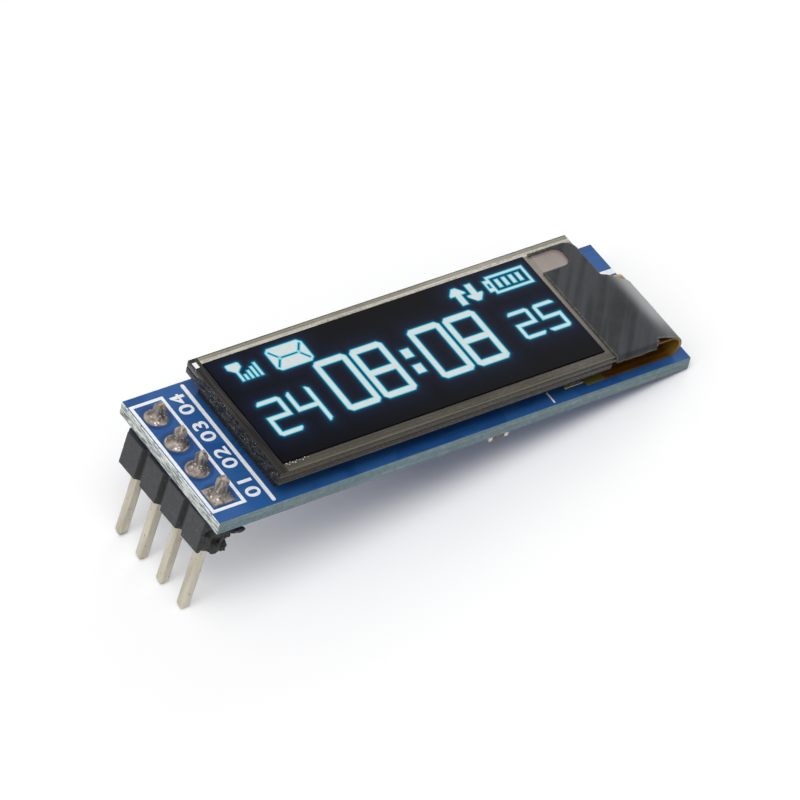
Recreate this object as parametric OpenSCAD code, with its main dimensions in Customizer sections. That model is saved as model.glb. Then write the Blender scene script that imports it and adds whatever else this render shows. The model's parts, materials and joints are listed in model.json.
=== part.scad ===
// Small display module: a blue circuit board that carries a thin glass display panel,
// its folded flex cable, a four-pin header and the small parts on its underside.
// Origin: centre of the pin row, on the board's underside. +X runs along the board from the
// header to the folded flex, +Y across it to the edge beside pin 4, and +Z up through the glass.
// The header is soldered in a little crooked, so its strip and pins lean.

/* [Board] */
// Length of the board
board_l = 38; // [37.6:0.1:42]
// Width of the board
board_w = 12; // [11.8:0.1:14]
// Thickness of the board with both solder masks
board_t = 1.1; // [0.8:0.1:1.4]
// Thickness of the solder mask on each face
mask_t = 0.04; // [0.03:0.005:0.06]
// Thickness of the white legend ink
ink_t = 0.03; // [0.03:0.005:0.04]
// Width of a fine legend line
ink_w = 0.24; // [0.16:0.02:0.3]
// Distance from the board's header end to the pin row
row_inset = 1.3; // [1.28:0.01:1.5]

/* [Header] */
// Distance between neighbouring pins
pitch = 2.54; // [2.5:0.01:2.6]
// Side of a square pin
pin_w = 0.64; // [0.5:0.01:0.66]
// Length of a pin below its plastic strip
pin_below = 5.75; // [3:0.05:9]
// Length of a pin above its plastic strip
pin_above = 2.95; // [2.4:0.05:3.6]
// Length of the bevel at each end of a pin
pin_bevel = 0.3; // [0.1:0.02:0.5]
// Width of the plastic strip
strip_w = 2.5; // [2:0.02:2.5]
// Height of the plastic strip
strip_h = 2.54; // [1.5:0.02:3]
// Depth of the notches between the strip's blocks
notch_d = 0.36; // [0.1:0.02:0.5]
// Width of a notch at its mouth
notch_w = 0.72; // [0.3:0.02:0.9]
// Lean of the header about Y, towards the display, in degrees
lean_y = 8.5; // [0:0.5:9]
// Lean of the header about X, down at pin 4, in degrees
lean_x = 2.7; // [0:0.1:3]
// Least gap between the strip and the board's underside
strip_gap = 0.03; // [0.02:0.01:0.1]
// Play between a pin's corners and its hole
hole_play = 0.195; // [0.18:0.005:0.25]
// Thickness of the copper in a hole
plating_t = 0.03; // [0.02:0.005:0.04]
// Diameter of a round land, and side of the square one
land_d = 1.6; // [1.5:0.02:1.8]
// Height of the solder on a pin
solder_h = 0.75; // [0.4:0.05:0.9]

/* [Panel] */
// Length of the upper glass
panel_l = 30.5; // [29.5:0.1:30.8]
// Width of the panel
panel_w = 11.3; // [10.5:0.1:11.5]
// Distance from the pin row to the panel
panel_x = 3.2; // [3.18:0.01:3.4]
// Length of the upper glass left bare below for the chip and the flex
ledge_l = 3.8; // [3.5:0.05:4.1]
// Thickness of each glass plate
glass_t = 0.5; // [0.4:0.05:0.6]
// Thickness of the seal between the plates
seal_t = 0.05; // [0.04:0.01:0.08]
// Width of the seal's rim
seal_w = 0.8; // [0.5:0.05:1]
// Thickness of the foam under the panel
foam_t = 1.25; // [1:0.05:1.4]
// Thickness of the polariser
polariser_t = 0.12; // [0.08:0.01:0.2]
// Margin from the panel's header end to the polariser
polariser_end = 0.67; // [0.5:0.01:0.8]
// Margin from the polariser to the lower glass's far end
polariser_far = 0.28; // [0.2:0.02:0.4]
// Margin between the polariser and the panel's long edges
polariser_side = 0.72; // [0.4:0.02:0.76]
// Thickness of the picture's lit skin
lit_t = 0.03; // [0.03:0.005:0.05]
// Thickness of the driver chip
chip_t = 0.3; // [0.2:0.02:0.4]

/* [Flex and tape] */
// Thickness of the flex
flex_t = 0.12; // [0.1:0.01:0.16]
// Width of the flex
flex_w = 6.7; // [6.5:0.05:7.2]
// Distance from the board's near edge to the flex
flex_inset = 0.65; // [0.6:0.05:1]
// Reach of the fold past the panel's end
flex_reach = 2.3; // [2.1:0.05:2.4]
// Length of the flex bonded under the glass
bond_l = 1.7; // [1:0.05:1.9]
// Length of the flex film that lies on the board
tail_l = 6.7; // [6.4:0.05:6.8]
// Length of the bare fingers
finger_l = 1.6; // [1:0.05:1.8]
// Distance between neighbouring fingers
finger_pitch = 0.45; // [0.4:0.01:0.47]
// Thickness of the tape
tape_t = 0.1; // [0.06:0.01:0.14]
// Length of tape hanging over the near edge of the glass
flap_h = 0.7; // [0.4:0.05:1]

/* [Small parts] */
// Length of a chip capacitor or resistor
smd_l = 1.6; // [1.4:0.02:1.7]
// Width of a chip capacitor or resistor
smd_w = 0.8; // [0.7:0.02:0.9]
// Height of a chip capacitor
capacitor_h = 0.8; // [0.6:0.02:0.9]
// Height of a chip resistor
resistor_h = 0.45; // [0.35:0.01:0.55]
// Length of a chip's metal end
terminal_l = 0.32; // [0.2:0.01:0.4]
// Length of the regulator's body
regulator_l = 2.9; // [2.7:0.05:3]
// Width of the regulator's body
regulator_w = 1.3; // [1.2:0.05:1.5]
// Height of the regulator's body
regulator_h = 1; // [0.9:0.05:1.2]

/* [Hidden] */
$fn = 48;

// Past any face, so that a cut goes clean through
over = 1;
pins = 4;

// Board
board_x0 = -row_inset;
board_x1 = board_x0 + board_l;
board_y0 = -board_w / 2;
hole_d = pin_w * sqrt(2) + hole_play;
drill_d = hole_d + 2 * plating_t;
mask_gap = 0.05;

// Legend: a box round the pin row, a line along the panel, a tick and a short far line
box_margin = 0.08;
box_l = 2.62;
box_spare = 0.24;
box_shift = 0.1;
panel_line_gap = 0.19;
panel_line_w = ink_w + 0.04;
panel_line_spare = 0.55;
tick_gap = 1.4;
tick_inset = 0.2;
tick_l = 1;
far_line_l = 1.4;
far_line_inset = 0.03;
far_line_gap = 1.55;

// Header: the strip hangs just clear of the board at its highest corner
blocks_w = pins * pitch;
strip_drop = strip_gap + strip_w / 2 * sin(lean_y) + blocks_w / 2 * sin(lean_x);
strip_top = -board_t / 2 - strip_drop;
strip_foot = strip_top - strip_h;

// Panel, from the board up
panel_x1 = panel_x + panel_l;
panel_y0 = -panel_w / 2;
cap_z = board_t + foam_t;
cap_l = panel_l - ledge_l;
cap_x1 = panel_x + cap_l;
seal_z = cap_z + glass_t;
substrate_z = seal_z + seal_t;
substrate_top = substrate_z + glass_t;
polariser_x = panel_x + polariser_end;
polariser_x1 = cap_x1 - polariser_far;
polariser_l = polariser_x1 - polariser_x;
polariser_w = panel_w - 2 * polariser_side;
polariser_top = substrate_top + polariser_t;

// Driver chip on the ledge, behind the lower glass
chip_gap = 0.35;
chip_w = 1.1;
chip_l = 7.6;

// Foam strips
foam_inset = 0.55;
foam_l = 9;
foam_middle_l = 7;
foam_finger_gap = 2.2;
foam_side = 1;

// Flex: the fold's outer radius fills the height from the board to the glass
flex_y0 = board_y0 + flex_inset;
flex_y1 = flex_y0 + flex_w;
fold_r = (substrate_z - board_t) / 2;
fold_x = panel_x1 + flex_reach - fold_r;
fold_z = board_t + fold_r;
tail_x = fold_x - tail_l;
fingers = 14;
finger_w = 0.24;
finger_t = 0.1;
finger_y = (flex_y0 + flex_y1) / 2 - (fingers - 1) / 2 * finger_pitch;
foam_middle_x = tail_x - finger_l - foam_finger_gap - foam_middle_l;

// Tape: it starts a little past the polariser
tape_x = polariser_x1 + 0.45;
tape_y1 = -panel_y0 - 0.65;
tape_corner = 0.9;
tape_drop = 0.65;
tape_taper = 1.1;
notch_x = tape_x + 2.45;
notch_y0 = tape_y1 - 1.95;
notch_y1 = tape_y1 - 0.22;

// Small parts on the underside: x, y and turn of each
row_x = 10.2;
row_step = 2;
near_row = board_y0 + 2.6;
far_row = -board_y0 - 2.8;
edge_row = board_y0 + 0.8;
capacitors = [
    [21.4, edge_row, 0], [row_x, near_row, 90], [row_x + row_step, near_row, 90],
    [row_x + 2 * row_step, near_row, 90], [row_x, far_row, 90], [7.4, -board_y0 - 1.6, 0]
];
resistors = [
    [row_x + 3 * row_step, near_row, 90], [row_x + 4 * row_step, near_row, 90],
    [row_x + row_step, far_row, 90], [row_x + 2 * row_step, far_row, 90]
];
chips = concat(capacitors, resistors);
terminal_lip = 0.02;
land_over = 0.25;
regulator_x = 6.4;
regulator_y = -0.6;
lead_w = 0.42;
lead_t = 0.15;
lead_foot = 0.45;
lead_out = 0.65;
lead_pitch = 1.9;

// Picture: laid out on a field of this size, which is stretched to the polariser. Places and
// sizes on it are measured from the header end and the near edge.
field_l = 25.75;
field_w = 9.86;
fx = polariser_l / field_l;
fy = polariser_w / field_w;
// Clock: four figures, then the bar's width, then the colon's dots
clock_at = [6.6, 2.1];
clock_size = [2.66, 4.9];
clock_bar = [0.5, 0.58];
clock_step = 2.86;
clock_half = 7.5;
colon_x = 12.78;
colon_dot = [0.72, 0.88];
colon_rise = [1.13, 2.65];
// Two plain figures on each side of the clock
left_at = [1.13, 2];
left_size = [1.9, 3.35];
left_bar = [0.38, 0.42];
left_step = 2.3;
right_at = [21.43, 2.95];
right_size = [1.7, 2.7];
right_bar = [0.33, 0.36];
right_step = 2.05;
// Icons along the far edge
signal_at = [1.13, 7.33];
envelope_at = [4.28, 7.15];
envelope_size = [2.95, 2.15];
up_at = [18.83, 7.43];
down_at = [19.98, 9.13];
battery_at = [21.68, 7.45];
battery_size = [3.14, 1.76];
battery_nose = 0.36;

// ---- Helpers ----

// Row position of pin i, counted from 1 at the near edge
function pin_y(i) = (i - (pins + 1) / 2) * pitch;

// Everything in the header turns about the pin row at half the board's thickness
module leaned() {
    translate([0, 0, board_t / 2])
        rotate([-lean_x, 0, 0])
            rotate([0, lean_y, 0])
                children();
}

// A bar across the board with round ends
module rounded_bar(length, width) {
    square([width, length - width], center = true);
    for (end = [-1, 1])
        translate([0, end * (length - width) / 2])
            circle(d = width);
}

module frame_outline(size, line) {
    difference() {
        square(size);
        translate([line, line])
            square([size[0] - 2 * line, size[1] - 2 * line]);
    }
}

module board_blank(z, thickness) {
    translate([board_x0, board_y0, z])
        cube([board_l, board_w, thickness]);
}

// ---- Board ----

module board_core() {
    color("#c9c9a8")
        difference() {
            board_blank(mask_t, board_t - 2 * mask_t);
            for (i = [1 : pins])
                translate([0, pin_y(i), -over])
                    cylinder(d = drill_d, h = board_t + 2 * over);
        }
}

// Outline of land i: the first is square, the others round
module land(i, grow = 0) {
    translate([0, pin_y(i)])
        if (i == 1)
            square(land_d + 2 * grow, center = true);
        else
            circle(d = land_d + 2 * grow);
}

module mask(z) {
    color("#1f4f96")
        difference() {
            board_blank(z, mask_t);
            for (i = [1 : pins])
                translate([0, 0, z - over])
                    linear_extrude(mask_t + 2 * over)
                        land(i, mask_gap);
            children();
        }
}

module mask_top() {
    mask(board_t - mask_t)
        translate([0, 0, board_t - mask_t - over])
            linear_extrude(mask_t + 2 * over)
                finger_row(finger_w + 2 * mask_gap, finger_l + 2 * mask_gap, mask_gap);
}

module mask_bottom() {
    mask(0)
        translate([0, 0, -over])
            linear_extrude(mask_t + 2 * over)
                land_outlines(mask_gap);
}

module legend() {
    box_w = blocks_w + box_spare;
    color("white")
        translate([0, 0, board_t])
            linear_extrude(ink_t) {
                translate([board_x0 + box_margin, box_shift - box_w / 2])
                    frame_outline([box_l, box_w], ink_w);
                translate([panel_x - panel_line_gap + panel_line_w / 2, 0])
                    rounded_bar(board_w - panel_line_spare, panel_line_w);
                translate([tail_x - finger_l - tick_gap, board_y0 + tick_inset])
                    square([ink_w / 2, tick_l]);
                translate([board_x1 - far_line_inset - far_line_l, flex_y1 + far_line_gap])
                    square([far_line_l, 2 * ink_w]);
            }
}

// A copper sleeve through the board with a land at each end
module plated_hole(i) {
    color("#c8a878")
        difference() {
            union() {
                translate([0, pin_y(i), 0])
                    cylinder(d = drill_d, h = board_t);
                for (z = [0, board_t - mask_t])
                    translate([0, 0, z])
                        linear_extrude(mask_t)
                            land(i);
            }
            translate([0, pin_y(i), -over])
                cylinder(d = hole_d, h = board_t + 2 * over);
        }
}

// ---- Header ----

// Plan of the strip: four blocks with V notches on both sides and bevelled corners
module strip_plan() {
    difference() {
        square([strip_w, blocks_w], center = true);
        for (side = [-1, 1], j = [0 : pins])
            translate([side * strip_w / 2, (j - pins / 2) * pitch])
                polygon([[0, -notch_w / 2], [-side * notch_d, -notch_w / 6],
                         [-side * notch_d, notch_w / 6], [0, notch_w / 2]]);
    }
}

// Where the strip was snapped from a longer one, slanted bites leave a torn end.
// Each bite is a place along X, a place down from the top, a depth, a turn and a tilt.
bites = [
    [-0.95, 0.3, 0.22, 14, 20], [-0.2, 0.62, 0.26, -16, 32], [0.1, 0.1, 0.12, 22, -12],
    [0.75, 0.72, 0.4, -12, 26], [1.2, 0.85, 0.62, 18, 34], [-0.75, 0.9, 0.3, -24, 12]
];
// A web of the neighbouring block stays on the torn end: how far it stands out, how far down
// it thins away, its length along X and its distance from the strip's side
web_out = 0.5;
web_drop = 1;
web_l = 0.8;
web_inset = 0.05;

module torn_end() {
    for (b = bites)
        translate([b[0], -blocks_w / 2, strip_top - strip_h * b[1]])
            rotate([b[4], 0, b[3]])
                cube([0.7, 2 * b[2], 0.8], center = true);
}

// A wedge of plastic that thins out downwards
module torn_web() {
    translate([strip_w / 2 - web_inset - web_l, -blocks_w / 2, strip_top])
        rotate([90, 0, 90])
            linear_extrude(web_l)
                polygon([[notch_w, -0.12], [-web_out, -0.2], [-web_out * 0.8, -web_drop / 2],
                         [notch_w, -web_drop]]);
}

module header_strip() {
    color("#26272a")
        leaned()
            difference() {
                union() {
                    translate([0, 0, strip_foot])
                        linear_extrude(strip_h)
                            strip_plan();
                    torn_web();
                }
                for (i = [1 : pins])
                    translate([0, pin_y(i), strip_foot + strip_h / 2])
                        cube([pin_w, pin_w, strip_h + 2 * over], center = true);
                torn_end();
            }
}

// Side view of a pin with bevelled ends; two of them crossed make the square pin
module pin_side() {
    foot = strip_foot - pin_below;
    tip = strip_top + pin_above;
    flat = pin_w / 4;
    half = pin_w / 2;
    polygon([[-flat, foot], [flat, foot], [half, foot + pin_bevel], [half, tip - pin_bevel],
             [flat, tip], [-flat, tip], [-half, tip - pin_bevel], [-half, foot + pin_bevel]]);
}

module pin_bar(i) {
    leaned()
        translate([0, pin_y(i), 0])
            intersection_for(turn = [0, 90])
                rotate([90, 0, turn])
                    translate([0, 0, -pin_w / 2])
                        linear_extrude(pin_w)
                            pin_side();
}

module header_pin(i) {
    color("#c9c3b4")
        pin_bar(i);
}

// Solder fills the hole and climbs the pin in a hollow cone
module solder_joint(i) {
    foot_r = land_d / 2 - 0.1;
    neck_r = pin_w * 0.78;
    rim = 0.06;
    bow = foot_r - neck_r;
    rise = solder_h - rim;
    hollow_r = (bow * bow + rise * rise) / (2 * bow);
    color("#9a8f86")
        difference() {
            union() {
                translate([0, pin_y(i), 0])
                    cylinder(d = hole_d, h = board_t);
                intersection() {
                    leaned()
                        translate([0, pin_y(i), board_t / 2])
                            rotate_extrude()
                                difference() {
                                    translate([0, -over])
                                        square([foot_r, over + solder_h]);
                                    translate([neck_r + hollow_r, solder_h])
                                        circle(r = hollow_r, $fn = 96);
                                }
                    translate([-pitch, pin_y(i) - pitch, board_t])
                        cube([2 * pitch, 2 * pitch, pitch]);
                }
                if (i == 1)
                    translate([0, pin_y(i), board_t + rim])
                        cube([land_d - rim, land_d - rim, 2 * rim], center = true);
            }
            pin_bar(i);
        }
}

// ---- Panel ----

module foam(x, length) {
    color("#1c1c1e")
        translate([x, panel_y0 + foam_side, board_t])
            cube([length, panel_w - 2 * foam_side, foam_t]);
}

module foam_header_end() {
    foam(panel_x + foam_inset, foam_l);
}

module foam_middle() {
    foam(foam_middle_x, foam_middle_l);
}

module panel_plate(z, length) {
    translate([panel_x, panel_y0, z])
        cube([length, panel_w, glass_t]);
}

module cap_glass() {
    color("#6b675e")
        panel_plate(cap_z, cap_l);
}

module substrate_glass() {
    color("#a39e92")
        panel_plate(substrate_z, panel_l);
}

// Plan of the rim that seals the two plates together, set in from their edges
module seal_plan(grow) {
    inset = 0.25 + grow;
    translate([panel_x + inset, panel_y0 + inset])
        square([cap_l - 2 * inset, panel_w - 2 * inset]);
}

module edge_seal() {
    color("#3a3833")
        translate([0, 0, seal_z])
            linear_extrude(seal_t)
                difference() {
                    seal_plan(0);
                    seal_plan(seal_w);
                }
}

// The light-giving film on the upper plate, inside the rim
module pixel_layer() {
    film_t = 0.03;
    color("#10121a")
        translate([0, 0, substrate_z - film_t])
            linear_extrude(film_t)
                seal_plan(seal_w + 0.2);
}

module polariser() {
    color("#16171d")
        difference() {
            translate([polariser_x, panel_y0 + polariser_side, substrate_top])
                cube([polariser_l, polariser_w, polariser_t]);
            translate([polariser_x, panel_y0 + polariser_side, polariser_top - lit_t])
                linear_extrude(lit_t + over)
                    picture();
        }
}

module driver_chip() {
    color("#3c3f45")
        translate([cap_x1 + chip_gap, -chip_l / 2, substrate_z - chip_t])
            cube([chip_w, chip_l, chip_t]);
}

// ---- Picture ----

// Stretches a list of places from the field to the polariser
function spread(points) = [for (p = points) [p[0] * fx, p[1] * fy]];

// A plain bar with its corner at a place on the field
module patch(at, size) {
    translate([at[0] * fx, at[1] * fy])
        square([size[0] * fx, size[1] * fy]);
}

module shape_at(at) {
    translate([at[0] * fx, at[1] * fy])
        children();
}

// An oblong with its corners cut
function cut_box(w, h, cut) =
    [[cut, 0], [w - cut, 0], [w, cut], [w, h - cut], [w - cut, h], [cut, h], [0, h - cut], [0, cut]];

// A figure of seven bars: top, upper left, upper right, middle, lower left, lower right and
// bottom. Its outer corners are cut.
module figure_of_bars(n, at, size, bar) {
    w = size[0];
    h = size[1];
    mid = (h - bar[1]) / 2;
    flat = [w, bar[1]];
    lower = [bar[0], mid + bar[1]];
    upper = [bar[0], h - mid];
    places = [
        [[0, h - bar[1]], flat], [[0, mid], upper], [[w - bar[0], mid], upper], [[0, mid], flat],
        [[0, 0], lower], [[w - bar[0], 0], lower], [[0, 0], flat]
    ];
    shape_at(at)
        intersection() {
            union()
                for (k = [0 : 6])
                    if (bars_of(n)[k])
                        patch(places[k][0], places[k][1]);
            polygon(spread(cut_box(w, h, bar[0] * 0.6)));
        }
}

function bars_of(n) =
    n == 0 ? [true, true, true, false, true, true, true] :
    n == 2 ? [true, false, true, true, true, false, true] :
    n == 4 ? [false, true, true, true, false, true, false] :
    n == 5 ? [true, true, false, true, false, true, true] :
    [true, true, true, true, true, true, true];

module clock() {
    for (half = [0, 1]) {
        x = clock_at[0] + half * clock_half;
        figure_of_bars(0, [x, clock_at[1]], clock_size, clock_bar);
        figure_of_bars(8, [x + clock_step, clock_at[1]], clock_size, clock_bar);
    }
    for (rise = colon_rise)
        patch([colon_x, clock_at[1] + rise], colon_dot);
}

module side_figures() {
    figure_of_bars(2, left_at, left_size, left_bar);
    figure_of_bars(4, left_at + [left_step, 0], left_size, left_bar);
    figure_of_bars(2, right_at, right_size, right_bar);
    figure_of_bars(5, right_at + [right_step, 0], right_size, right_bar);
}

// A small mast and four bars that climb
module signal_icon() {
    mast_x = 0.42;
    mast_w = 0.26;
    bar_step = 0.37;
    head = [[0, 1.25], [0.12, 1.15], [0.42, 0.87], [0.68, 0.87], [0.98, 1.15], [1.1, 1.25], [1.1, 1.65],
            [0.98, 1.75], [0.12, 1.75], [0, 1.65]];
    shape_at(signal_at) {
        polygon(spread(head));
        patch([mast_x, 0], [mast_w, 0.9]);
        for (k = [0 : 3])
            patch([0.78 + bar_step * k, 0], [mast_w, 0.58 + 0.24 * k]);
    }
}

// A letter seen from behind: four flaps parted by fine gaps
module envelope_icon() {
    w = envelope_size[0] * fx;
    h = envelope_size[1] * fy;
    fold = 0.75 * fx;
    gap = 0.09;
    shape_at(envelope_at)
        difference() {
            polygon(cut_box(w, h, 0.3));
            translate([fold, (h - gap) / 2])
                square([w - 2 * fold, gap]);
            for (sx = [0, 1], sy = [0, 1])
                translate([sx * w, sy * h])
                    mirror([sx, 0, 0])
                        mirror([0, sy, 0])
                            rotate(atan2(h / 2, fold))
                                translate([0.6 * fold, -gap / 2])
                                    square([1.13 * fold, gap]);
        }
}

module arrow_icon() {
    arrow = [[0.36, 0], [0.9, 0], [0.9, 0.95], [1.26, 0.95], [1.26, 1.15], [0.8, 1.7], [0.46, 1.7],
             [0, 1.15], [0, 0.95], [0.36, 0.95]];
    polygon(spread(arrow));
}

module battery_icon() {
    w = battery_size[0];
    h = battery_size[1];
    wall = 0.27;
    cell_w = 0.36;
    cell_step = 0.57;
    shape_at(battery_at) {
        difference() {
            patch([battery_nose, 0], [w, h]);
            patch([battery_nose + wall, wall], [w - 2 * wall, h - 2 * wall]);
        }
        difference() {
            patch([0, 0.3], [battery_nose, h - 0.6]);
            patch([battery_nose - 0.14, 0.7], [0.2, h - 1.4]);
        }
        for (k = [0 : 3])
            patch([0.86 + cell_step * k, 0.45], [cell_w, h - 0.9]);
    }
}

module picture() {
    clock();
    side_figures();
    signal_icon();
    envelope_icon();
    shape_at(up_at)
        arrow_icon();
    shape_at(down_at)
        mirror([0, 1, 0])
            arrow_icon();
    battery_icon();
}

// The lit picture lies flush in the polariser's face
module lit_picture() {
    color("#d6f2f4")
        translate([polariser_x, panel_y0 + polariser_side, polariser_top - lit_t])
            linear_extrude(lit_t)
                picture();
}

// ---- Flex and tape ----

// Draws a side view in X and Z and gives it the width from y0 to y1
module across(y0, y1) {
    translate([0, y1, 0])
        rotate([90, 0, 0])
            linear_extrude(y1 - y0)
                children();
}

module half_ring(outer, inner, low) {
    intersection() {
        difference() {
            circle(r = outer, $fn = 96);
            circle(r = inner, $fn = 96);
        }
        translate([0, low])
            square([2 * outer, 2 * outer - low]);
    }
}

// The flex leaves the ledge of the upper glass, folds under and lies on the board
module flex_cable() {
    color("#8a5a1e")
        across(flex_y0, flex_y1) {
            translate([panel_x1 - bond_l, substrate_z - flex_t])
                square([fold_x - panel_x1 + bond_l, flex_t]);
            translate([fold_x, fold_z])
                half_ring(fold_r, fold_r - flex_t, -2 * fold_r);
            translate([tail_x, board_t])
                square([tail_l, flex_t]);
        }
}

module finger_row(width, length, shift) {
    for (k = [0 : fingers - 1])
        translate([tail_x - finger_l - shift, finger_y + k * finger_pitch - width / 2])
            square([length, width]);
}

module flex_fingers() {
    color("#c6c0b0")
        translate([0, 0, board_t])
            linear_extrude(finger_t)
                finger_row(finger_w, finger_l, 0);
}

module flex_lands() {
    color("#c8a878")
        translate([0, 0, board_t - mask_t])
            linear_extrude(mask_t)
                finger_row(finger_w, finger_l, 0);
}

module tape_side() {
    translate([tape_x, substrate_top])
        square([panel_x1 - tape_x, tape_t]);
    polygon([[panel_x1, substrate_top], [panel_x1 + tape_drop, substrate_z],
             [panel_x1 + tape_drop, substrate_z + tape_t], [panel_x1, substrate_top + tape_t]]);
    translate([panel_x1 + tape_drop, substrate_z])
        square([fold_x - panel_x1 - tape_drop, tape_t]);
    translate([fold_x, fold_z])
        half_ring(fold_r + tape_t, fold_r, -fold_r / 3);
}

module tape_plan() {
    far_x = panel_x1 + flex_reach + over;
    difference() {
        union() {
            translate([tape_x, panel_y0])
                square([panel_x1 - tape_x, tape_y1 - panel_y0]);
            polygon([[panel_x1, flex_y0], [far_x, flex_y0], [far_x, flex_y1 - tape_taper],
                     [panel_x1 + tape_drop + 1, flex_y1 - tape_taper / 2], [panel_x1, flex_y1]]);
        }
        translate([panel_x1, tape_y1])
            difference() {
                translate([-tape_corner, -tape_corner])
                    square(tape_corner + over);
                translate([-tape_corner, -tape_corner])
                    circle(r = tape_corner, $fn = 64);
            }
        translate([tape_x - over, notch_y0])
            square([notch_x - tape_x + over, notch_y1 - notch_y0]);
    }
}

// Dark tape that shades the chip and covers the fold, with a window by its far corner
module shield_tape() {
    color("#3e4044") {
        intersection() {
            across(panel_y0, tape_y1)
                tape_side();
            translate([0, 0, board_t])
                linear_extrude(substrate_top)
                    tape_plan();
        }
        translate([tape_x, panel_y0 - tape_t, substrate_top + tape_t - flap_h])
            cube([panel_x1 - tape_x - 0.3, tape_t, flap_h]);
    }
}

// ---- Underside ----

// Places children at a chip's centre, hanging from the board's underside
module at_chip(c) {
    translate([c[0], c[1], 0])
        rotate(c[2])
            children();
}

module chip_body(c, height, tint) {
    color(tint)
        at_chip(c)
            translate([0, 0, -height / 2])
                cube([smd_l - 2 * terminal_l, smd_w, height], center = true);
}

module capacitor(i) {
    chip_body(capacitors[i - 1], capacitor_h, "#b08a62");
}

module resistor(i) {
    chip_body(resistors[i - 1], resistor_h, "#1b1b1d");
}

module terminal_pair(height) {
    for (end = [-1, 1])
        translate([end * (smd_l - terminal_l) / 2, 0, -(height + terminal_lip) / 2])
            cube([terminal_l, smd_w + 2 * terminal_lip, height + terminal_lip], center = true);
}

module chip_terminals() {
    color("#cfcac4") {
        for (c = capacitors)
            at_chip(c)
                terminal_pair(capacitor_h);
        for (c = resistors)
            at_chip(c)
                terminal_pair(resistor_h);
    }
}

// Centres of the regulator's three leads: side, then place along its body
lead_places = [[-1, -lead_pitch / 2], [-1, lead_pitch / 2], [1, 0]];

module lead_land_outline(p, grow) {
    foot_x = regulator_w / 2 + lead_out;
    translate([regulator_x + p[0] * (foot_x - lead_foot / 2), regulator_y + p[1]])
        square([lead_foot + 2 * grow + 0.3, lead_w + 2 * grow + 0.2], center = true);
}

module land_outlines(grow) {
    for (c = chips)
        translate([c[0], c[1]])
            rotate(c[2])
                for (end = [-1, 1])
                    translate([end * (smd_l - terminal_l + land_over) / 2, 0])
                        square([terminal_l + land_over + 2 * grow, smd_w + 0.1 + 2 * grow], center = true);
    for (p = lead_places)
        lead_land_outline(p, grow);
}

module chip_lands() {
    color("#c8a878")
        linear_extrude(mask_t)
            land_outlines(0);
}

module regulator_body() {
    clear = 0.08;
    color("#2a2a2c")
        translate([regulator_x - regulator_w / 2, regulator_y - regulator_l / 2, -clear - regulator_h])
            cube([regulator_w, regulator_l, regulator_h]);
}

// A bent lead: shoulder out of the body, riser and foot
module lead_side() {
    shoulder_z = -regulator_h * 0.55;
    reach = lead_out - lead_foot;
    translate([regulator_w / 2, shoulder_z])
        square([reach + lead_t, lead_t]);
    translate([regulator_w / 2 + reach, shoulder_z])
        square([lead_t, -shoulder_z]);
    translate([regulator_w / 2 + reach, -lead_t])
        square([lead_foot, lead_t]);
}

module regulator_leads() {
    color("#cfcac4")
        for (p = lead_places)
            translate([regulator_x, regulator_y + p[1], 0])
                mirror([p[0] < 0 ? 1 : 0, 0, 0])
                    across(-lead_w / 2, lead_w / 2)
                        lead_side();
}

board_core();
mask_top();
mask_bottom();
legend();
plated_hole(1);  // plated_hole_1
plated_hole(2);  // plated_hole_2
plated_hole(3);  // plated_hole_3
plated_hole(4);  // plated_hole_4
header_strip();
header_pin(1);  // header_pin_1
header_pin(2);  // header_pin_2
header_pin(3);  // header_pin_3
header_pin(4);  // header_pin_4
solder_joint(1);  // solder_joint_1
solder_joint(2);  // solder_joint_2
solder_joint(3);  // solder_joint_3
solder_joint(4);  // solder_joint_4
foam_header_end();
foam_middle();
cap_glass();
edge_seal();
pixel_layer();
substrate_glass();
polariser();
lit_picture();
driver_chip();
flex_cable();
flex_fingers();
flex_lands();
shield_tape();
regulator_body();
regulator_leads();
capacitor(1);  // capacitor_1
capacitor(2);  // capacitor_2
capacitor(3);  // capacitor_3
capacitor(4);  // capacitor_4
capacitor(5);  // capacitor_5
capacitor(6);  // capacitor_6
resistor(1);  // resistor_1
resistor(2);  // resistor_2
resistor(3);  // resistor_3
resistor(4);  // resistor_4
chip_terminals();
chip_lands();
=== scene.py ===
"""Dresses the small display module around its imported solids.

Everything is in metres in the part's own frame: +X from the pin header to the folded flex, +Y across
the board towards pin 4 and +Z up through the glass. Sizes that are easier to read in millimetres are
written as a number times MM.
"""

from __future__ import annotations

import json
import logging
import math
from dataclasses import dataclass
from enum import Enum
from typing import Callable, Iterable, Optional, Sequence

import bmesh
import bpy
import numpy as np
from mathutils import Matrix, Vector, noise
from mathutils.bvhtree import BVHTree
from mathutils.geometry import interpolate_bezier

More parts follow.
